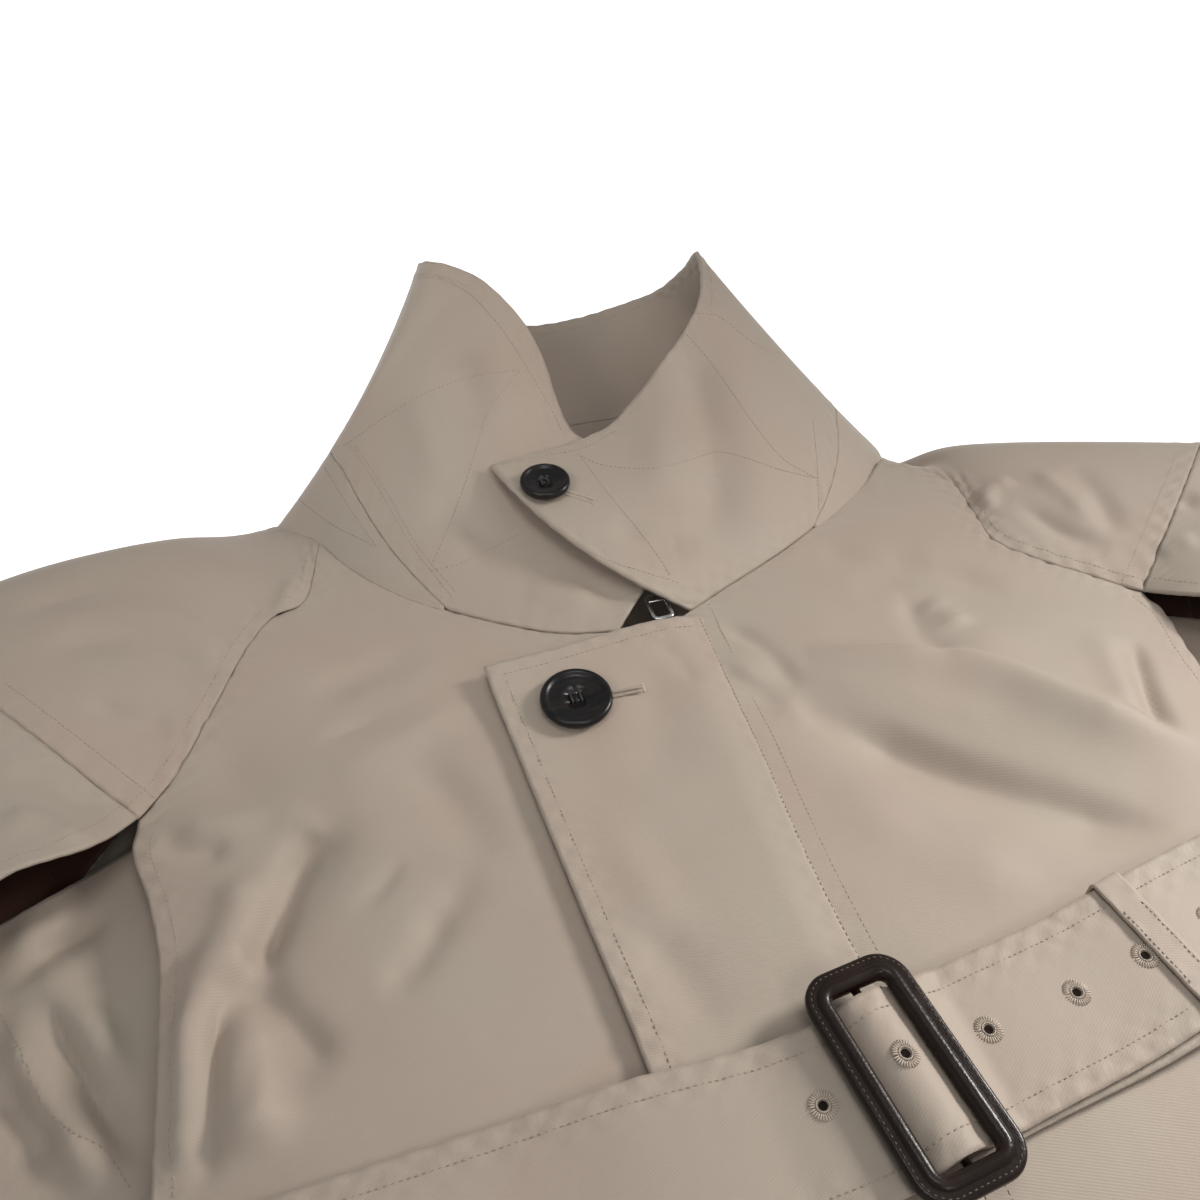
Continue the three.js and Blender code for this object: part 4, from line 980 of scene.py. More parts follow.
@dataclass
class Seam:
    """A line of stitches on a surface."""

    line: Array
    normals: Array
    pitch: float = 2.0
    length: float = 1.5
    width: float = 0.42
    height: float = 0.34
    lift: float = 0.62
    turn: float = 0.0
    RUN = 0.6

    @classmethod
    def traced(
        cls, panels: Sequence[ClothPanel], pixels: Sequence[Sequence[float]], **sizes: float
    ) -> "Seam":
        """A seam on the nearest cloth under a smooth line of the photograph.

        Args:
            panels: The cloth that the stitches may be on.
            pixels: Places of the line in the photograph.
            **sizes: Sizes of the stitches.

        Returns:
            The seam, on the side of the cloth that the camera sees.
        """
        trees, view = [panel.tree() for panel in panels], Studio()
        eye = Vector(view.place)
        line, normals = [], []
        for place in PlanCurve(pixels).at(np.linspace(0, 1, 40 * len(pixels))):
            ray = Vector(view.ray(place[0], place[1]))
            hits = [tree.ray_cast(eye, ray) for tree in trees]
            hits = [hit for hit in hits if hit[0] is not None]
            if hits:
                hit, normal, _, _ = min(hits, key=lambda found: found[3])
                line.append(hit)
                normals.append(normal if normal.dot(ray) < 0 else -normal)
        if len(line) < 2:
            LOG.warning("No cloth under the line from %s", pixels[0])
        return cls(np.array(line).reshape(-1, 3), np.array(normals).reshape(-1, 3), **sizes)

    @classmethod
    def on(cls, surface: Surface, u: Array, v: Array, lift: float = 0.55, **sizes: float) -> "Seam":
        """A seam along parameters of a surface, on the side that faces up or out."""
        u, v = np.asarray(u, float), np.asarray(v, float)
        step = 0.004
        points = surface(u, v)
        along = surface(u + step, v) - surface(u - step, v)
        across = surface(u, v + step) - surface(u, v - step)
        normals = unit(np.cross(along, across))
        return cls(points, normals, lift=lift, **sizes)

    def snapped(self, panel: ClothPanel) -> "Seam":
        """The same seam moved onto a panel's finished surface."""
        tree = panel.tree()
        found = [tree.find_nearest(Vector(place)) for place in self.line]
        normals = np.array([hit[1] for hit in found])
        same = np.sign((normals * self.normals).sum(-1, keepdims=True))
        self.line = np.array([hit[0] for hit in found])
        self.normals = normals * np.where(same == 0, 1, same)
        return self

    def faced(self, side: Array) -> "Seam":
        """The same seam with its normals turned to a side."""
        sign = np.sign((self.normals * side).sum(-1, keepdims=True))
        self.normals = self.normals * np.where(sign == 0, 1, sign)
        return self

    def matrices(self) -> list[Matrix]:
        """Where each stitch goes, in the frame."""
        if len(self.line) < 2:
            return []
        along = walked(self.line)
        places = np.arange(self.pitch / 2, along[-1], self.pitch)

        def read(values: Array, at: Array) -> Array:
            return np.stack([np.interp(at, along, values[:, k]) for k in range(3)], -1)

        middle, out = read(self.line, places), unit(read(self.normals, places))
        run = unit(read(self.line, places + self.RUN) - read(self.line, places - self.RUN))
        side = unit(np.cross(out, run))
        out = np.cross(run, side)
        cos, sin = math.cos(self.turn), math.sin(self.turn)
        run, side = run * cos + side * sin, side * cos - run * sin
        middle = to_frame(middle + out * self.lift)
        made = []
        for m, r, s, o in zip(middle, run, side, out):
            sized = (r * self.length / 2, s * self.width / 2, o * self.height / 2)
            axes = Matrix(np.array(sized).T.tolist()) * MM
            made.append(Matrix.Translation(Vector(m)) @ axes.to_4x4())
        return made


def inset(surface: Surface, held: Array, start: float, end: float, distance: float,
          along_u: bool) -> tuple[Array, Array]:
    """Parameters of a line at a distance from a surface's edge.

    Args:
        surface: The surface.
        held: Places along the edge.
        start: The parameter of the edge.
        end: The parameter to walk towards.
        distance: Millimetres from the edge.
        along_u: Whether the walk is along u, and the places are v.

    Returns:
        The line's u and v.
    """
    run = np.linspace(start, end, 200)
    h, r = np.meshgrid(np.asarray(held, float), run, indexing="ij")
    p = surface(r, h) if along_u else surface(h, r)
    steps = np.linalg.norm(np.diff(p, axis=1), axis=-1)
    walked = np.concatenate([np.zeros((len(h), 1)), np.cumsum(steps, axis=1)], axis=1)
    place = np.array([np.interp(distance, w, run) for w in walked])
    return (place, h[:, 0]) if along_u else (h[:, 0], place)


UP = np.array([0.0, 0.0, 1.0])


def edge_seam(surface: Surface, held: Array, start: float, end: float, distance: float, along_u: bool,
              side: Array = UP, **sizes: float) -> Seam:
    """Topstitching at a distance from a surface's edge, on the side that faces a direction."""
    return Seam.on(surface, *inset(surface, held, start, end, distance, along_u), **sizes).faced(side)


def whipped(line: Array, normals: Array, length: float, lift: float) -> Seam:
    """A dense row of stitches across a line."""
    return Seam(line, normals, pitch=0.5, length=length, width=0.42, height=0.6, lift=lift, turn=math.pi / 2)


def sew(name: str, seams: Sequence[Seam], material: bpy.types.Material) -> bpy.types.Object:
    """Make one piece of all the stitches of some seams."""
    whole = bmesh.new()
    places = [place for seam in seams for place in seam.matrices()]
    for start in range(0, len(places), 40):
        part = bmesh.new()
        for place in places[start : start + 40]:
            bmesh.ops.create_uvsphere(part, u_segments=5, v_segments=4, radius=1.0, matrix=place)
        mesh = bpy.data.meshes.new("stitches")
        part.to_mesh(mesh)
        part.free()
        whole.from_mesh(mesh)
        bpy.data.meshes.remove(mesh)
    bmesh.ops.recalc_face_normals(whole, faces=whole.faces)
    return finish_piece(new_object(name, whole), material, Slot.CLOTH)


# Light, floor and camera


@dataclass(frozen=True)
class Studio:
    """The pale floor, the soft light and the camera at the photograph's angle."""

    azimuth: float = -17.3
    elevation: float = 42.0
    roll: float = 0.3
    place: tuple[float, float, float] = (-116.0, -385.0, 318.0)
    focal_px: float = 1085.0
    image_px: float = 1200.0
    sensor_mm: float = 36.0
    floor_m: float = 14.0
    floor_drop: float = 0.0004
    sky: tuple[float, float, float] = (0.93, 0.96, 1.0)
    sky_strength: float = 0.33

    def axes(self) -> tuple[Vector, Vector, Vector]:
        """The camera's directions to the right, up and backwards."""
        a, e, r = (math.radians(x) for x in (self.azimuth, self.elevation, self.roll))
        back = Vector((math.sin(a) * math.cos(e), -math.cos(a) * math.cos(e), math.sin(e)))
        right = (-back).cross(Vector((0, 0, 1))).normalized()
        up = right.cross(-back)
        return right * math.cos(r) + up * math.sin(r), up * math.cos(r) - right * math.sin(r), back

    def ray(self, x: float, y: float) -> Vector:
        """The direction from the camera through a place of the photograph."""
        right, up, back = self.axes()
        half = self.image_px / 2
        return (right * ((x - half) / self.focal_px) - up * ((y - half) / self.focal_px) - back).normalized()

    def build(self) -> None:
        """Make the floor, the lights and the camera."""
        bm = bmesh.new()
        bmesh.ops.create_grid(bm, x_segments=2, y_segments=2, size=self.floor_m / 2)
        bmesh.ops.translate(bm, verts=bm.verts, vec=(0, 0, -self.floor_drop))
        floor = new_object("floor", bm)
        floor.data.materials.append(Floor().material())
        world = bpy.data.worlds.new("studio")
        bpy.context.scene.world = world
        world.use_nodes = True
        background = world.node_tree.nodes["Background"].inputs
        background["Color"].default_value = (*self.sky, 1)
        background["Strength"].default_value = self.sky_strength
        self.lamp("key", (0.6, 0.22, 0.42), (0.0, 0.02, 0.03), 0.16, 0.85, (1.0, 0.98, 0.95), 74)
        self.lamp("front", (0.1, -0.5, 0.75), (0.02, 0.12, 0.03), 0.3, 1.3, (1.0, 0.98, 0.96), 180)
        self.lamp("over", (-0.05, 0.1, 0.95), (-0.02, 0.4, 0.05), 0.3, 1.4, (1.0, 0.98, 0.96), 180)
        self.lamp("left", (-0.42, -0.05, 0.5), (-0.03, 0.42, 0.06), 0.2, 0.11, (1.0, 0.98, 0.96), 50)
        bpy.context.scene.view_settings.view_transform = "Standard"
        self.camera()

    @staticmethod
    def lamp(name: str, place: Sequence[float], aim: Sequence[float], size: float, power: float,
             colour: tuple[float, float, float], spread: float) -> None:
        """Add a soft square lamp that faces a point."""
        data = bpy.data.lights.new(name, "AREA")
        data.shape, data.size, data.energy, data.color = "SQUARE", size, power, colour
        data.spread = math.radians(spread)
        obj = bpy.data.objects.new(name, data)
        bpy.context.scene.collection.objects.link(obj)
        obj.location = place
        obj.rotation_mode = "QUATERNION"
        obj.rotation_quaternion = (Vector(aim) - Vector(place)).to_track_quat("-Z", "Y")

    def camera(self) -> None:
        """Add the camera."""
        data = bpy.data.cameras.new("view")
        data.sensor_width = self.sensor_mm
        data.lens = self.sensor_mm * self.focal_px / self.image_px
        data.clip_start, data.clip_end = 0.01, 50
        obj = bpy.data.objects.new("view", data)
        bpy.context.scene.collection.objects.link(obj)
        place = Vector(to_frame(np.array(self.place)))
        obj.matrix_world = Matrix.Translation(place) @ Matrix(self.axes()).transposed().to_4x4()
        bpy.context.scene.camera = obj


# The creases of each part of the coat: height, half width to each side, then places along it
FRONT_CREASES = crease_set(
    (-3.4, 5, 7, (321, 833), (297, 874), (276, 927), (259, 980)),
    (-3.6, 5, 6, (256, 984), (229, 1004), (213, 1051), (207, 1109), (203, 1198)),
    (-1.8, 6, 8, (260, 984), (282, 1015), (312, 1045), (338, 1074)),
    (2.4, 8, 9, (246, 872), (233, 945), (221, 986)),
    (3.6, 9, 12, (253, 1006), (259, 1080), (265, 1168)),
    (2.4, 6, 6, (194, 975), (192, 1050), (189, 1192)),
    (-0.9, 4, 4, (406, 856), (376, 892), (353, 909)),
    (-1.1, 6, 6, (447, 909), (412, 968), (376, 986)),
    (-0.8, 4, 4, (318, 739), (353, 730), (382, 718)),
    (-1.0, 7, 7, (482, 868), (435, 927), (406, 980)),
    (1.4, 7, 8, (156, 822), (212, 827), (276, 815), (329, 833)),
    (-1.3, 5, 5, (159, 838), (194, 852), (235, 848)),
    (-1.2, 9, 9, (300, 690), (350, 680), (420, 650)),
    (1.0, 8, 8, (330, 770), (400, 740), (470, 700)),
    (-1.2, 10, 10, (400, 760), (450, 800), (490, 860)),
    (3.2, 5, 17, (805, 652), (900, 655), (990, 665), (1070, 698), (1135, 722), (1200, 748)),
    (-5.0, 9, 17, (790, 705), (880, 738), (980, 775), (1080, 808), (1195, 850)),
    (0.9, 15, 15, (830, 790), (950, 860), (1050, 890)),
    (1.3, 8, 8, (925, 600), (945, 615), (965, 630)),
    (-1.0, 6, 6, (905, 590), (925, 640), (960, 660)),
    (-2.6, 4, 7, (1133, 640), (1150, 690), (1172, 735)),
    (1.0, 8, 8, (1095, 630), (1118, 680), (1138, 715)),
    (-1.0, 10, 10, (810, 540), (860, 560), (930, 560)),
    (-1.1, 9, 9, (850, 590), (930, 572), (1010, 590)),
    (-1.2, 5, 5, (716, 622), (760, 645), (800, 690)),
    (1.0, 6, 6, (722, 660), (770, 690), (810, 730)),
)
SIDE_CREASES = crease_set(
    (3.8, 6, 8, (22, 990), (35, 956), (71, 933), (112, 924)),
    (4.4, 6, 8, (29, 986), (53, 1027), (88, 1080), (118, 1127), (138, 1168)),
    (-3.2, 6, 7, (12, 1009), (35, 1068), (71, 1127), (112, 1186)),
    (-2.0, 6, 8, (60, 1000), (95, 1040), (125, 1090)),
    (2.0, 5, 6, (0, 1080), (24, 1120), (60, 1165)),
)
SHOULDER_CREASES = crease_set(
    (-1.5, 8, 8, (30, 660), (90, 640), (160, 650), (215, 690)),
    (1.2, 8, 8, (110, 600), (180, 625), (240, 680)),
    (-1.0, 7, 7, (10, 620), (60, 600), (120, 590)),
    (1.4, 5, 5, (300, 566), (287, 600), (266, 636)),
    (-1.0, 5, 5, (88, 700), (129, 720), (176, 730)),
    (-1.7, 6, 6, (1015, 500), (1060, 530), (1110, 550)),
    (-1.3, 7, 7, (1070, 465), (1100, 500), (1120, 540)),
    (1.7, 5, 5, (985, 516), (990, 492), (1012, 480)),
    (1.2, 6, 6, (1030, 470), (1060, 490), (1090, 520)),
)
SLEEVE_CREASES = crease_set(
    (-1.3, 7, 7, (8, 770), (60, 785), (110, 820)), (1.5, 7, 7, (0, 815), (50, 828), (95, 850)),
    (-1.2, 6, 6, (1160, 520), (1180, 505), (1200, 498)), (1.0, 6, 6, (1158, 556), (1180, 545), (1200, 540)),
)
FLAP_CREASES = crease_set(
    (-0.8, 12, 12, (640, 650), (660, 720), (655, 790)), (0.8, 10, 10, (600, 800), (640, 880), (690, 960)),
    (-0.9, 9, 9, (640, 920), (690, 990), (720, 1040)), (-0.6, 5, 5, (655, 640), (680, 660), (700, 690)),
)
COLLAR_CREASES = crease_set(
    (-3.4, 14, 12, (678, 320), (700, 390), (716, 460), (712, 545)),
    (1.3, 11, 11, (650, 400), (660, 450), (655, 510)),
    (-2.6, 13, 13, (450, 345), (470, 385), (480, 430)),
    (1.6, 10, 10, (400, 400), (430, 440), (440, 490)),
    (-1.6, 9, 9, (430, 500), (470, 530), (500, 570)),
    (1.2, 8, 8, (530, 590), (570, 600), (600, 590)),
    (-1.2, 7, 7, (610, 520), (650, 545), (700, 545)),
)


# The coat's cloth


@dataclass
class Fronts:
    """The two fronts, from the neck seam and raglan seams to the hem."""

    cloth: bpy.types.Material
    raglan_rows: int = 8
    armpit_y: float = -131
    armpit_centre_y: float = -150
    zip_x: float = -1
    zip_half: float = 5
    side_steps: tuple[float, ...] = (
        -146, -164, -188, -214, -240, -264, -282, -300, -330, -380, -450, -540, -640, -745, -850,
    )

    def surface(self, side: Side) -> Surface:
        """The surface of one front: u from the zip to the side, v from the neck to the hem."""
        centre_x = self.zip_x + side.value * self.zip_half
        start = (centre_x, -102 if side is Side.RIGHT else -100.5)
        neck = neck_curve(NECK_RIGHT if side is Side.RIGHT else NECK_LEFT, 5, [start])
        seam = PlanCurve(RAGLAN[side])
        rows = self.raglan_rows + len(self.side_steps)
        row_y = np.array([self.armpit_y, *self.side_steps])
        row_k = np.arange(self.raglan_rows, rows + 1)
        top_y = start[1]

        def outer(v: Array) -> Array:
            y = np.interp(v * rows, row_k, row_y)
            edge = stack(side.value * CoatShape.front_edge(y), y, 0)
            high = seam.at(v * rows / self.raglan_rows)
            return np.where((v * rows <= self.raglan_rows)[..., None], high, edge)

        def inner(v: Array) -> Array:
            down = (np.interp(v * rows, row_k, row_y) - self.armpit_y) / (HEM_Y - self.armpit_y)
            high = mix(top_y, self.armpit_centre_y, v * rows / self.raglan_rows)
            y = np.where(v * rows <= self.raglan_rows, high, mix(self.armpit_centre_y, HEM_Y, down))
            return stack(centre_x, y, 0)

        def hem(u: Array) -> Array:
            return stack(mix(centre_x, side.value * float(CoatShape.front_edge(HEM_Y)), u), HEM_Y, 0)

        def point(u: Array, v: Array) -> Array:
            plan = filled_plan(neck.at, hem, inner, outer, np.clip(u, 0, 1), np.clip(v, 0, 1))
            return stack(plan[..., 0], plan[..., 1], CoatShape.front(plan[..., 0], plan[..., 1]))

        return point

    def build(self) -> list[ClothPanel]:
        """Make both fronts."""
        made = []
        for side in Side:
            across = 1 - (1 - np.linspace(0, 1, 105)) ** 1.1
            along = spacing(0, 1, 0.0042, 0.012, 0.62)
            panel = ClothPanel(f"front_cloth_{side.word}", self.surface(side), across, along)
            panel.near_edges(0.4, 0.8, 0.6, 0.3)
            panel.crease(FRONT_CREASES, beside_belt)
            panel.build(self.cloth, [f"front_{side.word}"], ["back_panel_cloth", f"side_cloth_{side.word}"])
            made.append(panel)
        return made


FRONT_NAMES = ["front_cloth_right", "front_cloth_left"]


@dataclass
class StormFlap:
    """The flap over the zip."""

    cloth: bpy.types.Material

    @staticmethod
    def point(across: Array, y: Array) -> Array:
        """A point of the flap's middle surface."""
        slope = ease(-150, -100, y) * mix(-9.0, -1.0, across)
        x = mix(FLAP_EDGES.read("y", "free", y), FLAP_EDGES.read("y", "sewn", y), across)
        return stack(x, y + slope, CoatShape.flap(x, y + slope))

    def build(self) -> list[ClothPanel]:
        """Make the flap."""
        along = spacing(-100, HEM_Y, 1.4, 5.0, -330)
        panel = ClothPanel("storm_flap_cloth", self.point, np.linspace(0, 1, 60), along, thickness=1.5)
        panel.near_edges(0.8, 0.5, 0.8, 0.4)
        panel.crease(FLAP_CREASES, beside_belt)
        panel.build(self.cloth, ["storm_flap"], FRONT_NAMES)
        return [panel]


@dataclass
class SidesAndBack:
    """The side panels, folded over at the coat's sides, and the back panel."""

    cloth: bpy.types.Material
    panel_rows: tuple[float, ...] = (
        0, 0.04, 0.09, 0.14, 0.165, 0.19, 0.215, 0.24, 0.29, 0.36, 0.46, 0.58, 0.72, 0.86, 1,
    )
    raglan_rows: int = 6

    @staticmethod
    def row(at: Array, mirror: float) -> dict[str, Array]:
        """The places and heights of a side panel's section."""
        places = {
            edge + axis: (mirror if axis == "X" else 1) * SIDE_PANEL.read("at", column + axis, at)
            for edge, column in (("front", "inner"), ("fold", "fold"), ("back", "back")) for axis in "XY"
        }
        heights = {"front": SIDE_SLIT, "crest": SIDE_FOLD, "round": SIDE_ROUND}
        return places | {k: np.full(np.shape(at), height) for k, height in heights.items()}

    def side_surface(self, side: Side) -> Surface:
        """The surface of one side panel: u from its inner edge over the fold, v down to the hem."""

        def point(u: Array, v: Array) -> Array:
            p = folded_section(self.row(v, side.value), u)
            low = CoatShape.floor(p[..., 0], p[..., 1])
            top = CoatShape.side(p[..., 0], p[..., 1])
            turn = (p[..., 2] - FLOOR_LAYER) / (SIDE_FOLD - FLOOR_LAYER)
            return stack(p[..., 0], p[..., 1], np.where(u <= FOLD_UPPER, top, mix(low, top, turn)))

        return point

    @staticmethod
    def back_edge(mirror: float) -> PlanCurve:
        """The back's raglan seam in plan."""
        table = SHOULDER[Side.LEFT]
        neck = (mirror * abs(float(COLLAR.column("bx")[12])), float(COLLAR.column("by")[12]))
        return PlanCurve([neck, *zip(mirror * table.column("backX"), table.column("backY"))])

    def back_surface(self) -> Surface:
        """The surface of the back panel."""
        total = self.raglan_rows + len(self.panel_rows) - 1
        ks = np.arange(self.raglan_rows, total + 1)

        def edge(v: Array, mirror: float) -> Array:
            row = self.row(np.interp(v * total, ks, self.panel_rows), mirror)
            low = stack(row["backX"] - mirror * SEAM_GAP, row["backY"], 0)
            high = self.back_edge(mirror).at(v * total / self.raglan_rows)
            return np.where((v * total < self.raglan_rows)[..., None], high, low)

        neck = neck_curve(NECK_BACK, 4)
        hem_x = SIDE_PANEL.rows[-1][5] - SEAM_GAP

        def point(u: Array, v: Array) -> Array:
            plan = filled_plan(
                neck.at, lambda s: stack(mix(-1.0, 1.0, s) * hem_x, HEM_Y, 0),
                lambda s: edge(s, -1), lambda s: edge(s, 1), u, v,
            )
            return stack(plan[..., 0], plan[..., 1], CoatShape.floor(plan[..., 0], plan[..., 1]))

        return point

    def build(self) -> list[ClothPanel]:
        """Make the back and both side panels."""
        across, along = np.linspace(0, 1, 70), np.linspace(0, 1, 110)
        back = ClothPanel("back_panel_cloth", self.back_surface(), across, along, thickness=1.2)
        back.near_edges(0.5, 0.5, 0.4, 0.4)
        back.build(self.cloth, ["back_panel"], ["floor"])
        made = [back]
        for side in Side:
            across, along = np.linspace(0, 1, 90), spacing(0, 1, 0.0035, 0.011, 0.3)
            name = f"side_cloth_{side.word}"
            panel = ClothPanel(name, self.side_surface(side), across, along, thickness=1.2)
            panel.near_edges(0.3, 0.6, 0.3, 0.4)
            panel.crease(SIDE_CREASES, beside_belt)
            panel.build(self.cloth, [f"side_{side.word}"], ["floor"])
            made.append(panel)
        return made


@dataclass
class Sleeves:
    """The raglan shoulder pieces and the sleeves."""

    cloth: bpy.types.Material
    lining: bpy.types.Material
    round_mm: float = 24
    lip = {Side.RIGHT: 15.0, Side.LEFT: 6.0}
    dip = {Side.RIGHT: 0.0, Side.LEFT: 12.0}

    def shoulder_row(self, side: Side, at: Array) -> dict[str, Array]:
        """The places and heights of a shoulder piece's section."""
        table = SHOULDER[side]
        read = {k: table.read("at", k, at) for k in ("foldX", "foldY", "front", "crest")}
        fold = stack(read["foldX"], read["foldY"], 0)
        seam = PlanCurve(RAGLAN[side]).at(at)
        seam = seam + unit(fold - seam) * SEAM_GAP
        back = SidesAndBack.back_edge(side.value).at(at)
        back = back + unit(fold - back) * SEAM_GAP
        return {
            "frontX": seam[..., 0], "frontY": seam[..., 1], "backX": back[..., 0], "backY": back[..., 1],
            "foldX": read["foldX"], "foldY": read["foldY"], "crest": read["crest"],
            "front": np.maximum(read["front"], CoatShape.front(seam[..., 0], seam[..., 1])),
            "round": self.round_mm * mix(0.6, 1.0, np.asarray(at, float)),
        }

    def neck_end(self, side: Side, share: Array) -> Array:
        """The neck edge of a shoulder piece."""
        row = self.shoulder_row(side, np.zeros_like(share))
        ends = (NECK_LEFT[1], NECK_BACK[1]) if side is Side.LEFT else (NECK_RIGHT[1], NECK_BACK[0])
        p = collar_point(mix(*ends, share), np.zeros_like(share))
        p[..., 2] = mix(p[..., 2], FLOOR_LAYER, ease(0.45, 0.95, share))
        first = stack(row["frontX"], row["frontY"], row["front"])
        last = stack(row["backX"], row["backY"], FLOOR_LAYER)
        return np.where((share <= 0)[..., None], first, np.where((share >= 1)[..., None], last, p))

    def shoulder_surface(self, side: Side) -> Surface:
        """The surface of a shoulder piece: u from its front seam over the fold, v out to the sleeve."""

        def point(u: Array, v: Array) -> Array:
            start = folded_section(self.shoulder_row(side, np.zeros_like(v)), u)
            here = folded_section(self.shoulder_row(side, v), u)
            sag = self.dip[side] * np.exp(-(((v - 0.1) / 0.09) ** 2)) * ease(0.06, 0.36, u)
            sag = sag * (1 - ease(0.5, 0.64, u))
            here = here - upwards(sag)
            return here + (self.neck_end(side, u) - start) * (1 - ease(0, 0.45, v))[..., None]

        return point

    def sleeve_surface(self, side: Side) -> Surface:
        """The surface of a sleeve: u from its front edge over the fold, v down to the cuff."""
        mirror = side.value
        start = self.shoulder_row(side, np.array(1.0))
        names = SLEEVE_COLUMNS.split()
        first = tuple(0.0 if k == "at" else float(start[k]) for k in names)
        signs = [mirror if k.endswith("X") else 1 for k in names]
        below = [
            (*(a * b for a, b in zip(row, signs)), self.round_mm * mix(1.0, 0.5, row[0])) for row in SLEEVE
        ]
        rows = Table(SLEEVE_COLUMNS + " round", ((*first, self.round_mm), *below))

        def point(u: Array, v: Array) -> Array:
            row = {k: rows.read("at", k, v) for k in rows.columns.split()}
            row["front"] = np.maximum(row["front"], FLOOR_LAYER + CLOTH + UNDERARM_GAP)
            p = folded_section(row, u)
            join = (1 - ease(0, 0.1, v)) * mix(1.0, -4.0, ease(FOLD_UPPER, FOLD_ROUND, u))
            p = p + join[..., None] * np.array([mirror * 0.15, -0.15, 0.0])
            upper = np.minimum(u / FOLD_UPPER, 1)
            lift = lift_of(SLEEVE_FOLDS, mirror * p[..., 0], p[..., 1]) * np.sin(np.pi * upper)
            lift = lift + self.lip[side] * np.exp(-(((v - 0.19) / 0.11) ** 2)) * (1 - upper) ** 1.6
            return p + upwards(lift)

        return point

    def build(self) -> list[ClothPanel]:
        """Make both shoulder pieces and both sleeves."""
        made = []
        across = runs((0, FOLD_UPPER, 60), (FOLD_UPPER, FOLD_ROUND, 26), (FOLD_ROUND, 1, 24))
        along = np.linspace(0, 1, 90)
        for side in Side:
            name = f"shoulder_cloth_{side.word}"
            panel = ClothPanel(name, self.shoulder_surface(side), across, along, pucker=0.55)
            panel.near_edges(1.0, 0.5, 0.7, 0.7)
            panel.crease(SHOULDER_CREASES)
            panel.build(self.cloth, [f"shoulder_{side.word}"], ["back_panel_cloth"], inner=self.lining)
            made.append(panel)
            down = spacing(0, 1, 0.0045, 0.011, 0.3)
            panel = ClothPanel(f"sleeve_cloth_{side.word}", self.sleeve_surface(side), across, down)
            panel.near_edges(0.5, 0.5, 0.8, 0.5)
            panel.crease(SLEEVE_CREASES)
            panel.build(self.cloth, [f"sleeve_{side.word}"], ["floor"], inner=self.lining)
            made.append(panel)
        return made


@dataclass
class Collar:
    """The fall with its two pointed leaves, and the stand under it."""

    cloth: bpy.types.Material
    half_gap: float = 0.001
    tip_round: float = 0.035
    tip_station: float = 6.75

    def fall_point(self, station: Array, v: Array) -> Array:
        """A point of the fall."""
        start = np.maximum(stand_seam(station) + self.half_gap, COLLAR_START)
        rounded = 1 - self.tip_round * np.exp(-(((station - self.tip_station) / 0.8) ** 2))
        return self.set_down(station, mix(start, rounded, v))

    @staticmethod
    def set_down(station: Array, share: Array) -> Array:
        """A point of the collar, its lower edge brought down onto the fronts."""
        p = collar_point(station, share)
        base = collar_point(station, np.zeros_like(share))
        above = np.maximum(base[..., 2] - CoatShape.front(base[..., 0], base[..., 1]) - 0.5, 0)
        on_front = 1 - ease(3.5, 5, station) + ease(16, 17.5, station)
        drop = above * on_front * np.clip(1 - share, 0, 1) ** 5
        return p - upwards(drop)

    def stand_point(self, station: Array, v: Array) -> Array:
        """A point of the stand."""
        top = np.maximum(stand_seam(station) - self.half_gap, 0.004)
        return self.set_down(station, mix(COLLAR_START, top, v))

    def build(self) -> list[ClothPanel]:
        """Make the fall and the stand."""
        stations = np.linspace(NECK_RIGHT[0], NECK_LEFT[0], 400)
        up = np.linspace(0, 1, 76)
        fall = ClothPanel("collar_fall_cloth", self.fall_point, stations, up, thickness=1.5)
        fall.near_edges(0.9, 0.9, 0.7, 0.9)
        fall.crease(COLLAR_CREASES)
        fall.build(self.cloth, ["collar_fall"], FRONT_NAMES, held="folded")
        stations = np.linspace(*STAND_ENDS, 260)
        up = np.linspace(0, 1, 22)
        stand = ClothPanel("collar_stand_cloth", self.stand_point, stations, up, thickness=1.4)
        stand.near_edges(0, 0, 0.3, 0.3)
        stand.build(self.cloth, ["collar_stand"], [*FRONT_NAMES, "back_panel_cloth"], held="folded")
        return [fall, stand]


@dataclass
class BuckleSize:
    """Sizes of the buckle."""

    x: float = -1
    y: float = -287.5
    length: float = 64
    width: float = 32
    bar: float = 7
    height: float = 5.5
    round: float = 9
    turn: float = 0.11
    middle_bar: float = 2.6
    over: float = 3.3


BUCKLE = BuckleSize()


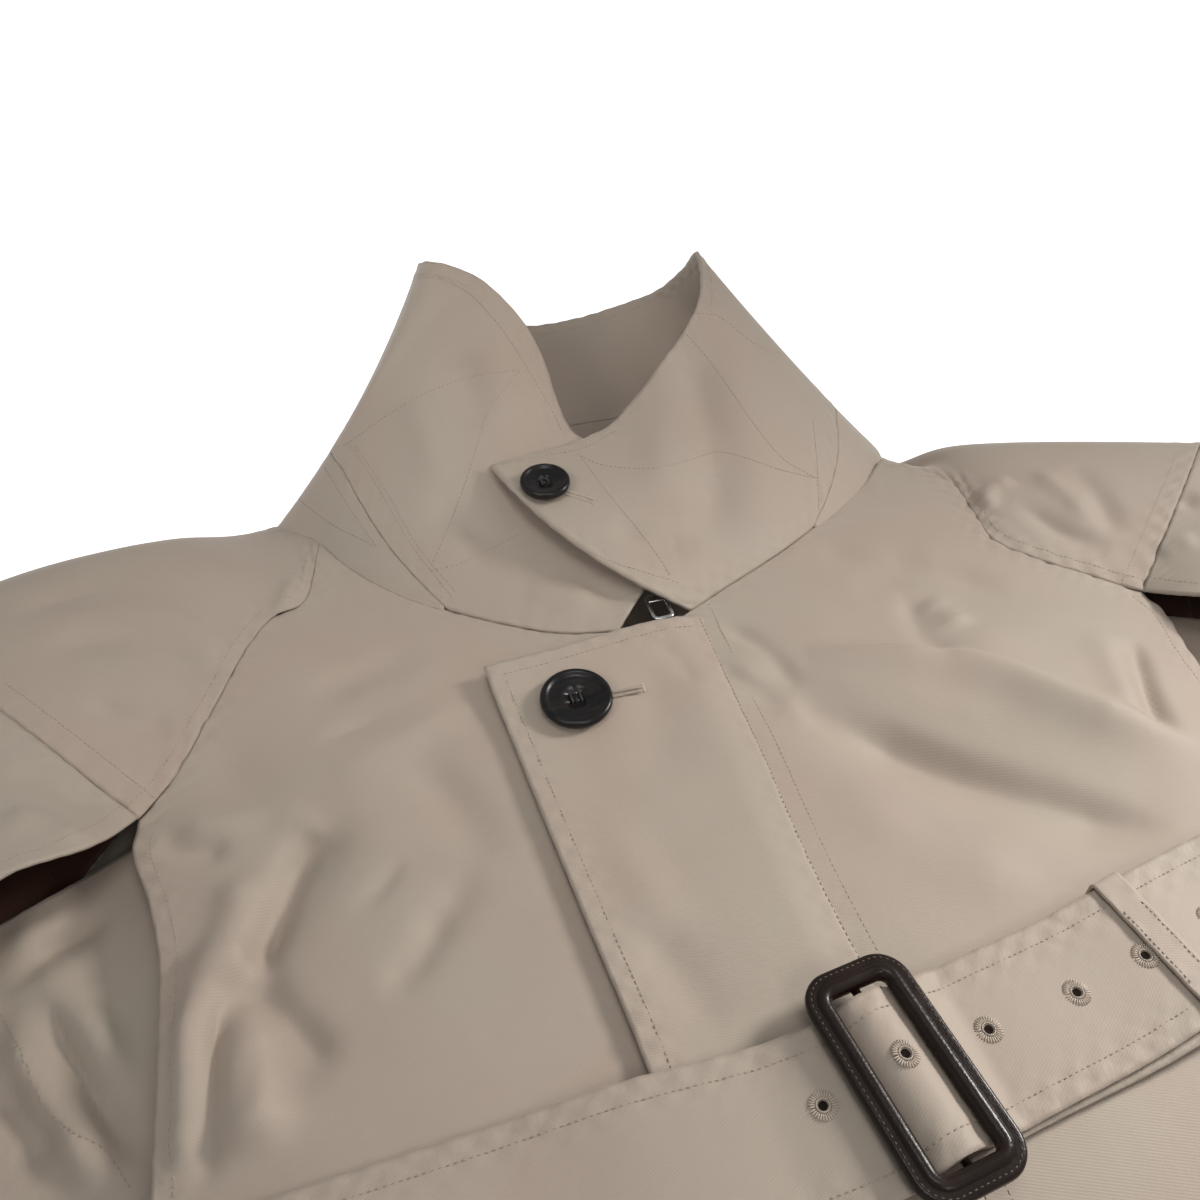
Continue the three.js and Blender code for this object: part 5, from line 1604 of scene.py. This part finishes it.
@dataclass
class Belt:
    """The belt, from the buckle round the waist and back over the front to its tail, with its keeper."""

    cloth: bpy.types.Material

    @staticmethod
    def middle(x: Array) -> Array:
        """The belt's middle line over the front."""
        return BELT_FRONT.read("x", "y", x)

    @classmethod
    def over(cls, x: Array, offset: Array, layers_below: Array | float) -> Array:
        """A point of the belt over the front."""
        b = BELT_SIZE
        x = np.asarray(x, float) + 0 * np.asarray(offset, float)
        y = cls.middle(x) + offset
        over_keeper = b.keeper_lift * np.exp(-(((x - b.keeper_x) / (2 * b.keeper_width)) ** 2))
        z = CoatShape.outer(x, y) + b.clearance + b.cloth / 2 + layers_below * LAYER + over_keeper
        return stack(x, y, z)

    @classmethod
    def round_side(cls, mirror: float, turn: Array, offset: Array) -> Array:
        """A point where the belt turns under the coat's side."""
        b = BELT_SIZE
        y = cls.middle(np.array(mirror * BELT_FRONT.rows[-1][0])) + offset
        top = cls.over(np.array(mirror * b.side_x), offset, 0)[..., 2]
        low = b.cloth / 2
        angle = mix(np.pi / 2, -np.pi / 2, turn)
        x = b.side_x + b.fold_round * np.cos(angle)
        return stack(mirror * x, y, (top + low) / 2 + (top - low) / 2 * np.sin(angle))

    @staticmethod
    def over_bar(x: Array, y: Array) -> Array:
        """The strap's rise over the buckle's middle bar."""
        away = (x - BUCKLE.x) * math.cos(BUCKLE.turn) + (y - BUCKLE.y) * math.sin(BUCKLE.turn)
        reach = BUCKLE.width / 2 - BUCKLE.bar + 1.5
        hump = (1 - np.clip(np.abs(away) / reach, 0, 1) ** 2.2) ** 1.25 * (BUCKLE.middle_bar + BUCKLE.over)
        return np.where(np.abs(away) < reach, hump, 0)

    def top_strap(self, x: Array, offset: Array) -> Array:
        """A point of the strap's upper run, from the right side through the buckle to the tail."""
        layers = ease(-40, -20, x)
        p = self.over(x, offset, layers)
        return p + upwards(self.over_bar(p[..., 0], p[..., 1]))

    def route(self, k: Array, offset: Array) -> Array:
        """A point of the whole strap.

        Args:
            k: Place along it: 0-1 base run, 1-2 left turn, 2-3 under, 3-4 right turn, 4-5 top run.
            offset: Distance from its middle line.

        Returns:
            The point.
        """
        b = BELT_SIZE
        part = np.clip(np.floor(k), 0, 4)
        t = k - part
        base_x = mix(b.start_x, b.side_x, t)
        base = self.over(base_x, offset - 0.8 - 2.2 * ease(10, 120, base_x), 0)
        left = self.round_side(1.0, t, offset)
        under_x = mix(b.side_x, -b.side_x, t)
        under = stack(under_x, CoatShape.belt_under(under_x) + offset, b.cloth / 2)
        right = self.round_side(-1.0, 1 - t, offset)
        top = self.top_strap(mix(-b.side_x, b.tail_end, t), offset)
        chosen = base
        for number, points in ((1, left), (2, under), (3, right), (4, top)):
            chosen = np.where((part == number)[..., None], points, chosen)
        return chosen

    @staticmethod
    def top_steps() -> Array:
        """Steps along the top run, closer where the strap goes over the buckle's bar."""
        b = BELT_SIZE
        reach = BUCKLE.width * 0.75
        length = b.side_x + b.tail_end
        first, last = (4 + (b.side_x + BUCKLE.x + away) / length for away in (-reach, reach))
        return runs((4, first, 160), (first, last, 60), (last, 5, 100))

    def build(self) -> list[ClothPanel]:
        """Make the belt."""
        below = runs((0, 1, 110), (1, 2, 12), (2, 3, 60), (3, 4, 12))
        steps = np.concatenate([below, self.top_steps()[1:]])
        half = BELT_SIZE.width / 2
        panel = ClothPanel("belt_cloth", self.route, steps, np.linspace(-half, half, 34), thickness=1.5)
        panel.near_edges(0, 0.5, 0.8, 0.8)
        panel.build(self.cloth, ["belt"], [*FRONT_NAMES, "storm_flap_cloth"])
        return [panel]


@dataclass
class Sewing:
    """The stitches that show: topstitching, lines on the collar's leaves, buttonholes and eyelets."""

    thread: bpy.types.Material
    panels: dict[str, ClothPanel]
    edge: float = 6.0
    hem: float = 20.0
    cuff_hem: float = 25.0

    # Lines of stitches as places of the photograph: a side seam, then those on the collar's leaves
    side_seam_px = ((0, 1010), (19, 1048), (35, 1088), (54, 1117), (78, 1136), (102, 1150), (131, 1190))
    buttoned_leaf_px = (
        (
            (577, 455), (597, 465), (623, 469), (657, 469), (683, 463), (717, 453), (743, 458), (777, 470),
            (815, 479),
        ),
        ((580, 457), (610, 497), (643, 537), (670, 577)),
        ((677, 327), (703, 353), (730, 390), (757, 430), (783, 460), (815, 479)),
        ((690, 313), (717, 317), (743, 337), (763, 350), (787, 357)),
        ((500, 466), (530, 460), (563, 454), (587, 448), (615, 433)),
        ((503, 490), (530, 516), (560, 537), (600, 558), (640, 572), (680, 584)),
    )
    under_leaf_px = (
        ((520, 370), (487, 414), (479, 440), (460, 498), (430, 572)),
        ((430, 572), (464, 563), (518, 536)),
        ((520, 370), (464, 379), (411, 402), (342, 448)),
        ((325, 467), (361, 525), (378, 548)),
        ((300, 500), (330, 523), (378, 548)),
        ((405, 285), (430, 278), (465, 291), (493, 318), (517, 352), (536, 384), (552, 412), (560, 430)),
    )
    stand_seams_px = (
        ((348, 442), (373, 479), (411, 544), (452, 598)), ((356, 446), (381, 483), (419, 548), (455, 592)),
        ((812, 420), (816, 462), (818, 512)),
    )

    def panel_seams(self) -> dict[str, list[Seam]]:
        """The topstitching of every panel, by the name of its piece."""
        at = np.linspace(0.0, 1.0, 240)
        seams: dict[str, list[Seam]] = {}
        fronts, sides = Fronts(self.thread), SidesAndBack(self.thread)
        sleeves = Sleeves(self.thread, self.thread)
        rows = fronts.raglan_rows + len(fronts.side_steps)
        armpit = fronts.raglan_rows / rows
        for side in Side:
            word, front = side.word, fronts.surface(side)
            shoulder, sleeve = sleeves.shoulder_surface(side), sleeves.sleeve_surface(side)
            front_cloth, cap, arm, flank = (
                self.panels[f"{name}_cloth_{word}"] for name in ("front", "shoulder", "sleeve", "side")
            )
            edge = edge_seam(front, mix(armpit, 1.0, at), 1.0, 0.6, self.edge, True)
            raglan = edge_seam(shoulder, mix(0.06, 1.0, at), 0.0, 0.3, self.edge - 0.5, True)
            head = edge_seam(shoulder, at * FOLD_UPPER, 1.0, 0.6, 8.5, False)
            inner = edge_seam(sleeve, mix(0.0, 0.98, at), 0.0, 0.3, self.edge + 1, True)
            seams[f"front_edge_{word}"] = [edge.snapped(front_cloth)]
            seams[f"raglan_{word}"] = [raglan.snapped(cap)]
            seams[f"sleeve_head_{word}"] = [head.snapped(cap)]
            cuff = edge_seam(sleeve, at * FOLD_UPPER, 1.0, 0.8, self.cuff_hem, False)
            seams[f"cuff_{word}"] = [cuff, inner.snapped(arm)]
            places = mix(0.02, FOLD_UPPER, at)
            seams[f"side_{word}"] = [
                Seam.traced([flank], self.side_seam_px).faced(UP),
                edge_seam(sides.side_surface(side), places, 1.0, 0.9, self.hem, False),
            ]
            seams[f"hem_{word}"] = [edge_seam(front, at, 1.0, 0.9, self.hem, False)]
        along = np.linspace(-101.0, HEM_Y + 1, 400)
        flap = StormFlap.point

        def second(past: Array, y: Array) -> Array:
            x = FLAP_EDGES.read("y", "sewn", y) + past
            return stack(x, y, CoatShape.front(x, y))

        seams["storm_flap"] = [
            edge_seam(flap, along[4:], 0.0, 0.5, self.edge, True, lift=0.8),
            edge_seam(flap, np.linspace(0.06, 0.93, 40), -100.0, -130.0, self.edge - 0.5, False, lift=0.8),
            edge_seam(flap, along[:-4], 1.0, 0.7, 3.2, True, lift=0.9),
            Seam.on(second, np.full(len(along), 4.4), along + 6).faced(UP),
        ]
        return seams

    def collar_seams(self) -> list[Seam]:
        """The collar's edge stitching, seen on both sides, and the lines traced on its leaves."""
        collar = [self.panels["collar_fall_cloth"], self.panels["collar_stand_cloth"]]
        point = Collar(self.thread).fall_point
        lines = (*self.buttoned_leaf_px, *self.under_leaf_px)
        seams = [Seam.traced(collar, line, lift=0.8) for line in lines]
        places = np.linspace(5.0, 16.2, 500)
        for sign in (-1, 1):
            seam = Seam.on(point, *inset(point, places, 1.0, 0.7, self.edge, False), lift=0.8)
            seam.normals = seam.normals * sign
            seams.append(seam)
        return seams + [Seam.traced(collar, line, lift=0.8) for line in self.stand_seams_px]

    def belt_seams(self) -> list[Seam]:
        """The belt's stitching along both edges, from under its sides to its tail, and the keeper's."""
        belt = Belt(self.thread)
        k = np.linspace(4.0, 5.0, 700)
        half = BELT_SIZE.width / 2 - self.edge
        lines = [np.full(len(k), side * half) for side in (-1, 1)]
        seams = [Seam.on(belt.route, k, line, lift=0.85).faced(UP) for line in lines]
        keeper = Keeper(self.thread)
        over = np.linspace(0.62, 0.38, 60)
        for share in (-0.36, 0.36):
            line = np.full(len(over), share)
            seams.append(Seam.on(keeper.point, line, over, lift=0.65, pitch=1.6, length=1.2).faced(UP))
        return seams

    def buttonhole(self, panel: ClothPanel, pixels: Sequence[Sequence[float]]) -> list[Seam]:
        """Two dense rows of stitches along a line, with a bar across its far end."""
        middle = Seam.traced([panel], pixels)
        run = unit(np.gradient(middle.line, axis=0))
        side = unit(np.cross(middle.normals, run))
        rows = [whipped(middle.line + side * shift, middle.normals, 1.5, 0.85) for shift in (-0.95, 0.95)]
        end = middle.line[-1] + side[-1] * np.linspace(-1.9, 1.9, 12)[:, None]
        return [*rows, whipped(end, np.repeat(middle.normals[-1:], 12, 0), 1.5, 0.9)]

    @staticmethod
    def front_buttonhole(node: str) -> list[Seam]:
        """A whipped buttonhole beside a front button."""
        low, high = solid_box(node)
        x, y = high.x - 4, (low.y + high.y) / 2 - SHIFT_Y + 0.5
        middle = np.linspace(x, x + 16, 30)
        line = stack(middle, y, CoatShape.flap(middle, np.full(30, y)))
        rows = [whipped(line + np.array([0, s, 0.0]), np.tile(UP, (30, 1)), 1.6, 0.95) for s in (-1.0, 1.0)]
        end = x + 16.4
        bar = stack(end, y + np.linspace(-2, 2, 12), CoatShape.flap(np.full(12, end), np.full(12, y)))
        return [*rows, whipped(bar, np.tile(UP, (12, 1)), 1.5, 0.95)]

    @staticmethod
    def eyelet(centre: Array, out: Array, radius: float = 2.9, inner: float = 1.75) -> list[Seam]:
        """Stitches round a hole in the belt's tail, and its whipped inner edge."""
        turn = np.linspace(0, 2 * np.pi, 60)[:, None]
        along = unit(np.cross(out, np.array([0.0, 1.0, 0.0])))
        ring = np.cos(turn) * along + np.sin(turn) * np.cross(out, along)
        normals = np.tile(out, (60, 1))
        return [
            Seam(centre + radius * ring, normals, lift=0.9, pitch=0.62, length=2.5, width=0.5, height=0.75,
                 turn=math.pi / 2),
            Seam(centre + inner * ring, normals, lift=1.1, pitch=0.5, length=0.8, width=0.5, height=0.7),
        ]

    # Middles of the eyelets: those that show as places of the photograph, and the tail's last as distances
    eyelets_px = ((823, 1107), (905, 1055), (988, 1031), (1076, 994))
    eyelets_x = (83.5, 111.0, 138.0)

    def build(self, whipping: bpy.types.Material, hole: bpy.types.Material) -> None:
        """Make every seam, the whipped buttonholes and eyelets, and the discs of painted shade in the eyelets'
        holes.
        """
        for name, seams in self.panel_seams().items():
            sew(f"stitches_{name}", seams, self.thread)
        sew("stitches_collar", self.collar_seams(), self.thread)
        sew("stitches_belt", self.belt_seams(), self.thread)
        holes = self.buttonhole(self.panels["collar_fall_cloth"], ((566, 494), (580, 498), (594, 503)))
        sew("buttonhole_collar", holes, whipping)
        for node in FRONT_BUTTONS:
            sew(node.replace("button", "buttonhole"), self.front_buttonhole(node), whipping)
        rings: list[Seam] = []
        whole = bmesh.new()
        strap = self.panels["belt_cloth"]
        seen = [Seam.traced([strap], ((x - 1, y), (x, y), (x + 1, y))) for x, y in self.eyelets_px]
        x = np.array(self.eyelets_x)
        hidden = Seam.on(Belt(self.thread).top_strap, x, np.zeros(3)).faced(UP)
        middles = [(seam.line[len(seam.line) // 2], seam.normals[len(seam.line) // 2]) for seam in seen]
        for centre, out in (*middles, *zip(hidden.line, hidden.normals)):
            out = unit(out)
            rings += self.eyelet(centre, out)
            turn = Vector(out).to_track_quat("Z", "Y").to_matrix().to_4x4()
            place = Matrix.Translation(Vector(to_frame(centre + out * 0.95))) @ turn
            # A flat disc over each hole, painted near black as painted shade inside the hole.
            bmesh.ops.create_circle(whole, cap_ends=True, radius=1.25 * MM, segments=20, matrix=place)
        sew("eyelet_stitches", rings, whipping)
        finish_piece(new_object("eyelet_holes", whole), hole, Slot.CLOTH)


FRONT_BUTTONS = ("button_front_1", "button_front_2", "button_front_3")


def move_up(bm: bmesh.types.BMesh, parts: Sequence[object], height: float) -> None:
    """Move up the vertices that are among some parts."""
    verts = [part for part in parts if isinstance(part, bmesh.types.BMVert)]
    bmesh.ops.translate(bm, vec=(0, 0, height), verts=verts)


def block(size: Sequence[float], soft: float, middle: Sequence[float]) -> bmesh.types.BMesh:
    """A block with softened edges."""
    bm = bmesh.new()
    place = Matrix.Translation(middle) @ Matrix.Diagonal((*size, 1))
    bmesh.ops.create_cube(bm, size=1.0, matrix=place)
    bmesh.ops.bevel(bm, geom=bm.edges[:], offset=soft, segments=3, profile=0.5, affect="EDGES", material=-1)
    return bm


def lathe(bm: bmesh.types.BMesh, profile: Sequence[tuple[float, float]], steps: int) -> None:
    """Spin a profile of radii and heights round the z axis."""
    verts = [bm.verts.new((r, 0, z)) for r, z in profile]
    edges = [bm.edges.new(pair) for pair in zip(verts, verts[1:])]
    bmesh.ops.spin(bm, geom=[*verts, *edges], axis=(0, 0, 1), cent=(0, 0, 0), steps=steps, angle=2 * math.pi,
                   use_merge=True)


def placed(bm: bmesh.types.BMesh, where: Array, turn: Matrix) -> bmesh.types.BMesh:
    """Close a hard piece made in millimetres round the origin and put it in its place."""
    bmesh.ops.remove_doubles(bm, verts=bm.verts, dist=1e-4)
    bmesh.ops.recalc_face_normals(bm, faces=bm.faces)
    where = Matrix.Translation(Vector(to_frame(where)))
    bmesh.ops.transform(bm, matrix=where @ turn.to_4x4() @ Matrix.Scale(MM, 4), verts=bm.verts)
    return bm


def ring_plate(width: float, length: float, radius: float, bar: float, height: float, soft: float,
               base: float = 0.0) -> bmesh.types.BMesh:
    """A round-cornered frame with softened edges, its underside at a base height."""
    bm = bmesh.new()
    bmesh.ops.create_grid(bm, x_segments=1, y_segments=1, size=0.5)
    bmesh.ops.scale(bm, vec=(width, length, 1), verts=bm.verts)
    bmesh.ops.bevel(
        bm, geom=bm.verts[:], offset=radius, segments=8, profile=0.5, affect="VERTICES", material=-1
    )
    bmesh.ops.inset_region(bm, faces=bm.faces[:], thickness=bar, use_boundary=True, use_even_offset=True)
    window = min(bm.faces, key=lambda face: face.calc_center_bounds().length - len(face.verts))
    bmesh.ops.delete(bm, geom=[window], context="FACES")
    raised = bmesh.ops.extrude_face_region(bm, geom=bm.faces[:])["geom"]
    move_up(bm, raised, height)
    bmesh.ops.recalc_face_normals(bm, faces=bm.faces)
    sharp = [e for e in bm.edges if e.is_manifold and e.calc_face_angle(0) > 1.2]
    bmesh.ops.bevel(bm, geom=sharp, offset=soft, segments=4, profile=0.5, affect="EDGES", material=-1)
    bmesh.ops.translate(bm, vec=(0, 0, base), verts=bm.verts)
    return bm


def joined(parts: Sequence[bmesh.types.BMesh]) -> bmesh.types.BMesh:
    """One bmesh of several, which are freed."""
    whole = bmesh.new()
    for part in parts:
        mesh = bpy.data.meshes.new("part")
        part.to_mesh(mesh)
        part.free()
        whole.from_mesh(mesh)
        bpy.data.meshes.remove(mesh)
    return whole


@dataclass
class Buttons:
    """The horn buttons, each with a raised rim, a dished middle and four holes."""

    horn: bpy.types.Material
    thread: bpy.types.Material
    height: float = 4.2
    shank: float = 0.9
    front_diameter: float = 26.0
    collar_diameter: float = 20.5
    steps: int = 48
    HOLE_AT = 0.13

    def disc(self, diameter: float) -> bmesh.types.BMesh:
        """A button round the origin, its underside at z = 0."""
        r, h = diameter / 2, self.height
        well = r * 0.5
        floor_z = h * 0.62
        bm = bmesh.new()
        lathe(bm, (
            (0, 0), (r * 0.8, 0), (r * 0.97, h * 0.3), (r, h * 0.55), (r * 0.985, h * 0.82),
            (r * 0.94, h * 0.97), (r * 0.88, h), (r * 0.82, h * 0.95), (r * 0.78, h * 0.8), (r * 0.7, h * 0.76),
            (r * 0.58, h * 0.7), (well, floor_z),
        ), self.steps)
        edge = bmesh.ops.create_circle(bm, cap_ends=False, radius=well, segments=self.steps,
                                       matrix=Matrix.Translation((0, 0, floor_z)))["verts"]
        rims = []
        for x in (-1, 1):
            for y in (-1, 1):
                place = Matrix.Translation((x * r * self.HOLE_AT, y * r * self.HOLE_AT, floor_z))
                rim = bmesh.ops.create_circle(bm, cap_ends=False, radius=r * 0.075, segments=12, matrix=place)
                rims.append(rim["verts"])
        hole_edges = [e for rim in rims for e in {e for v in rim for e in v.link_edges}]
        outline = list({e for v in edge for e in v.link_edges})
        bmesh.ops.triangle_fill(bm, use_beauty=True, edges=[*outline, *hole_edges], normal=(0, 0, 1))
        sunk = bmesh.ops.extrude_edge_only(bm, edges=hole_edges)["geom"]
        move_up(bm, sunk, -h * 0.4)
        bmesh.ops.holes_fill(bm, edges=[e for e in sunk if isinstance(e, bmesh.types.BMEdge)], sides=0)
        return bm

    def build_one(self, node: str, diameter: float, point: Array, out: Vector) -> None:
        """Make one button, with the thread that holds it."""
        turn = Vector((0, 0, 1)).rotation_difference(out).to_matrix()
        centre = point + np.array(out) * (CLOTH / 2 + self.shank + 0.35)
        bm = placed(self.disc(diameter), centre, turn)
        finish_piece(new_object(f"{node}_horn", bm), self.horn, Slot.HORN, [node])
        r = diameter / 2
        sewn = bmesh.new()
        lathe(sewn, ((0, -self.shank - 0.6), (2.4, -self.shank - 0.6), (1.9, -0.2), (1.9, 0.3), (0, 0.3)), 16)
        for x in (-1, 1):
            bar = Matrix.Translation((x * r * self.HOLE_AT, 0, self.height * 0.66))
            bar = bar @ Matrix.Diagonal((0.45, r * 0.17, 0.4, 1))
            bmesh.ops.create_uvsphere(sewn, u_segments=10, v_segments=6, radius=1.0, matrix=bar)
        finish_piece(new_object(f"{node}_thread", placed(sewn, centre, turn)), self.thread, Slot.CLOTH)

    def build(self, collar: ClothPanel) -> None:
        """Make the three front buttons and the collar's."""
        for node in FRONT_BUTTONS:
            low, high = solid_box(node)
            x, y, step = (low.x + high.x) / 2, (low.y + high.y) / 2 - SHIFT_Y, 6.0
            here, right, left, up, down = (
                float(CoatShape.flap(np.array(x + a * step), np.array(y + b * step)))
                for a, b in ((0, 0), (1, 0), (-1, 0), (0, 1), (0, -1))
            )
            out = Vector((left - right, down - up, 2 * step)).normalized()
            self.build_one(node, self.front_diameter, np.array([x, y, here]), out)
        place = Seam.traced([collar], ((544, 489), (545, 490), (546, 491)))
        middle = len(place.line) // 2
        out = Vector(unit(place.normals[middle]))
        self.build_one("button_collar", self.collar_diameter, place.line[middle], out)


@dataclass
class Buckle:
    """The leather-covered frame with its sewn edge, and the bar under the strap."""

    leather: bpy.types.Material
    thread: bpy.types.Material
    flange: float = 3.3
    flange_base: float = 1.3
    bead: float = 4.4
    stitched: float = 1.55

    @staticmethod
    def outline(inside: float, count: int = 400) -> Array:
        """Places along the frame at a distance inside its outer edge."""
        b = BUCKLE
        x, y, r = b.width / 2 - b.round, b.length / 2 - b.round, b.round - inside
        quarter = np.linspace(0, np.pi / 2, 24)
        corners = [
            stack(sx * x + r * np.cos(quarter + start), sy * y + r * np.sin(quarter + start), 0)
            for sx, sy, start in ((1, 1, 0), (-1, 1, np.pi / 2), (-1, -1, np.pi), (1, -1, 3 * np.pi / 2))
        ]
        line = np.vstack([*corners, corners[0][:1]])
        along = walked(line)
        places = np.linspace(0, along[-1], count)
        return stack(np.interp(places, along, line[:, 0]), np.interp(places, along, line[:, 1]), 0)

    def build(self) -> None:
        """Make the frame, its bar and its stitching."""
        b = BUCKLE
        turn = Matrix.Rotation(b.turn, 3, "Z")
        z = float(Belt.over(np.array(b.x), np.array(0.0), 1.0)[2]) + BELT_SIZE.cloth / 2 + 0.75
        where = np.array([b.x, b.y, z])
        sunk = b.width / 2 - (b.bar - self.bead + 0.1)
        edge = b.width / 2 - sunk
        frame_parts = [
            ring_plate(b.width, b.length, b.round, b.bar - 0.4, self.flange, 1.1, self.flange_base),
            ring_plate(2 * sunk, b.length - 2 * edge, b.round - edge, self.bead, b.height, 2.0),
        ]
        whole = new_object("buckle_frame", placed(joined(frame_parts), where, turn))
        finish_piece(whole, self.leather, Slot.LEATHER, ["buckle"])
        rod = bmesh.new()
        upright = Matrix.Translation((0, 0, b.middle_bar / 2 + 0.2)) @ Matrix.Rotation(math.pi / 2, 4, "X")
        r = b.middle_bar / 2
        bmesh.ops.create_cone(
            rod, cap_ends=True, segments=16, radius1=r, radius2=r, depth=b.length - b.bar, matrix=upright
        )
        finish_piece(new_object("buckle_bar", placed(rod, where, turn)), self.leather, Slot.LEATHER)
        top = where + np.array([0, 0, self.flange + self.flange_base])
        line = self.outline(self.stitched) @ np.array(turn).T + top
        out = np.tile(UP, (len(line), 1))
        seam = Seam(line, out, pitch=1.75, length=1.15, width=0.4, height=0.4, lift=0.02)
        sew("stitches_buckle", [seam], self.thread)


@dataclass
class Zip:
    """The zip: two rows of teeth, the slider that closes them, and its ring pull."""

    metal: bpy.types.Material
    x: float = -1.0
    top: float = -113.0
    end: float = -640.0
    pitch: float = 2.0
    tooth: tuple[float, float, float] = (2.4, 1.1, 1.7)
    tooth_x: float = 1.55
    body_height: float = 3.4

    def teeth(self, side: Side) -> None:
        """Make one row of teeth."""
        bm = bmesh.new()
        shift = 0.0 if side is Side.RIGHT else self.pitch / 2
        for y in np.arange(self.end, self.top - self.pitch, self.pitch) + shift:
            x = self.x + side.value * self.tooth_x
            z = float(CoatShape.front(np.array(x), np.array(y)))
            place = Matrix.Translation(Vector(to_frame(np.array([x, y, z]))))
            size = Matrix.Diagonal((*(length * MM for length in self.tooth), 1))
            bmesh.ops.create_cube(bm, size=1.0, matrix=place @ size)
        row = new_object(f"zip_teeth_{side.word}", bm)
        finish_piece(row, self.metal, Slot.METAL, [f"zip_rail_{side.word}"], smooth=False)

    def build(self) -> None:
        """Make the teeth, the slider and the pull."""
        for side in Side:
            self.teeth(side)
        low, high = solid_box("zip_slider")
        size, middle = high - low, (low + high) / 2
        up = low.z + self.body_height / 2 - middle.z
        body = block((size.x, size.y, self.body_height), 0.9, (0, 0, up))
        bail = block((2.6, 5.5, 2.2), 0.6, (0, -1, 1.2))
        place = np.array(middle) - np.array([0, SHIFT_Y, 0])
        piece = placed(joined([body, bail]), place, Matrix.Identity(3))
        finish_piece(new_object("zip_slider_metal", piece), self.metal, Slot.METAL, ["zip_slider"])
        low, high = solid_box("zip_pull")
        size, middle = high - low, (low + high) / 2
        ring = ring_plate(size.x, size.y, 2.6, 1.5, size.z, 0.4, -size.z / 2)
        pad = block((6.4, 3.4, size.z), 0.4, (0, 4.6, 0.1))
        place = np.array(middle) - np.array([0, SHIFT_Y, 0])
        piece = placed(joined([ring, pad]), place, Matrix.Identity(3))
        finish_piece(new_object("zip_pull_ring", piece), self.metal, Slot.METAL, ["zip_pull"], Body.PULL)


@dataclass
class Keeper:
    """The band that holds the belt's tail, round both layers of the strap."""

    cloth: bpy.types.Material
    width: float = 10.0
    cloth_mm: float = 1.0

    def point(self, share: Array, round_share: Array) -> Array:
        """A point of the band: share across it, round_share once round the belt from its seam below."""
        b = BELT_SIZE
        reach = b.width / 2 + b.keeper_clearance + self.cloth_mm / 2
        at = np.array([0, 0.22, 0.235, 0.25, 0.265, 0.28, 0.5, 0.72, 0.735, 0.75, 0.765, 0.78, 1.0])
        across = np.interp(round_share, at, [0.0, 0.965, 1, 1, 1, 0.965, 0, -0.965, -1, -1, -1, -0.965, 0.0])
        up = np.interp(round_share, at, [0.0, 0.0, 0.15, 0.5, 0.85, 1, 1, 1, 0.85, 0.5, 0.15, 0.0, 0.0])
        offset = across * reach
        x = b.keeper_x + share * self.width - offset * b.keeper_turn
        inside = np.clip(offset, -b.width / 2, b.width / 2)
        off = b.cloth / 2 + b.keeper_clearance + self.cloth_mm / 2
        under = Belt.over(x, inside, 0.0)[..., 2] - off
        over = Belt.over(x, inside, 1.0)[..., 2] + off
        return stack(x, Belt.middle(x) + offset, mix(under, over, up))

    def build(self) -> ClothPanel:
        """Make the band."""
        round_shares = runs(
            (0.004, 0.22, 30), (0.22, 0.28, 12), (0.28, 0.72, 70), (0.72, 0.78, 12), (0.78, 0.996, 30),
        )
        across = np.linspace(-0.5, 0.5, 14)
        panel = ClothPanel("belt_keeper_cloth", self.point, across, round_shares, thickness=self.cloth_mm)
        panel.near_edges(0.5, 0.5, 0, 0, 2.5)
        panel.build(self.cloth, ["belt_keeper"], ["belt_cloth"], held="folded")
        return panel


def main() -> None:
    """Build the coat's pieces in order."""
    logging.basicConfig(level=logging.INFO, format="%(name)s: %(message)s")
    twill = Twill("coat_twill", light=(0.465, 0.365, 0.296), dark=(0.35, 0.282, 0.226)).material()
    # The tan thread's dark tone is partly its twist and partly painted shade on each stitch.
    thread = Thread("tan_thread", colour=(0.50, 0.40, 0.31), dark=(0.19, 0.14, 0.10)).material()
    dark_thread = Thread("brown_thread", colour=(0.13, 0.075, 0.05), dark=(0.05, 0.028, 0.018)).material()
    button_thread = Thread("button_thread", colour=(0.03, 0.022, 0.018), dark=(0.012, 0.009, 0.008))
    whipping = Thread("pale_thread", colour=(0.62, 0.53, 0.43), dark=(0.42, 0.34, 0.27)).material()
    panels = SidesAndBack(twill).build()
    panels += Fronts(twill).build()
    panels += StormFlap(twill).build()
    panels += Sleeves(twill, Lining().material()).build()
    panels += Collar(twill).build()
    panels += Belt(twill).build()
    Keeper(twill).build()
    named = {panel.name: panel for panel in panels}
    Sewing(thread, named).build(whipping, Shade().material())
    Buttons(Horn().material(), button_thread.material()).build(named["collar_fall_cloth"])
    Buckle(Leather().material(), dark_thread).build()
    Zip(Metal().material()).build()
    Studio().build()


if __name__ == "__main__":
    main()
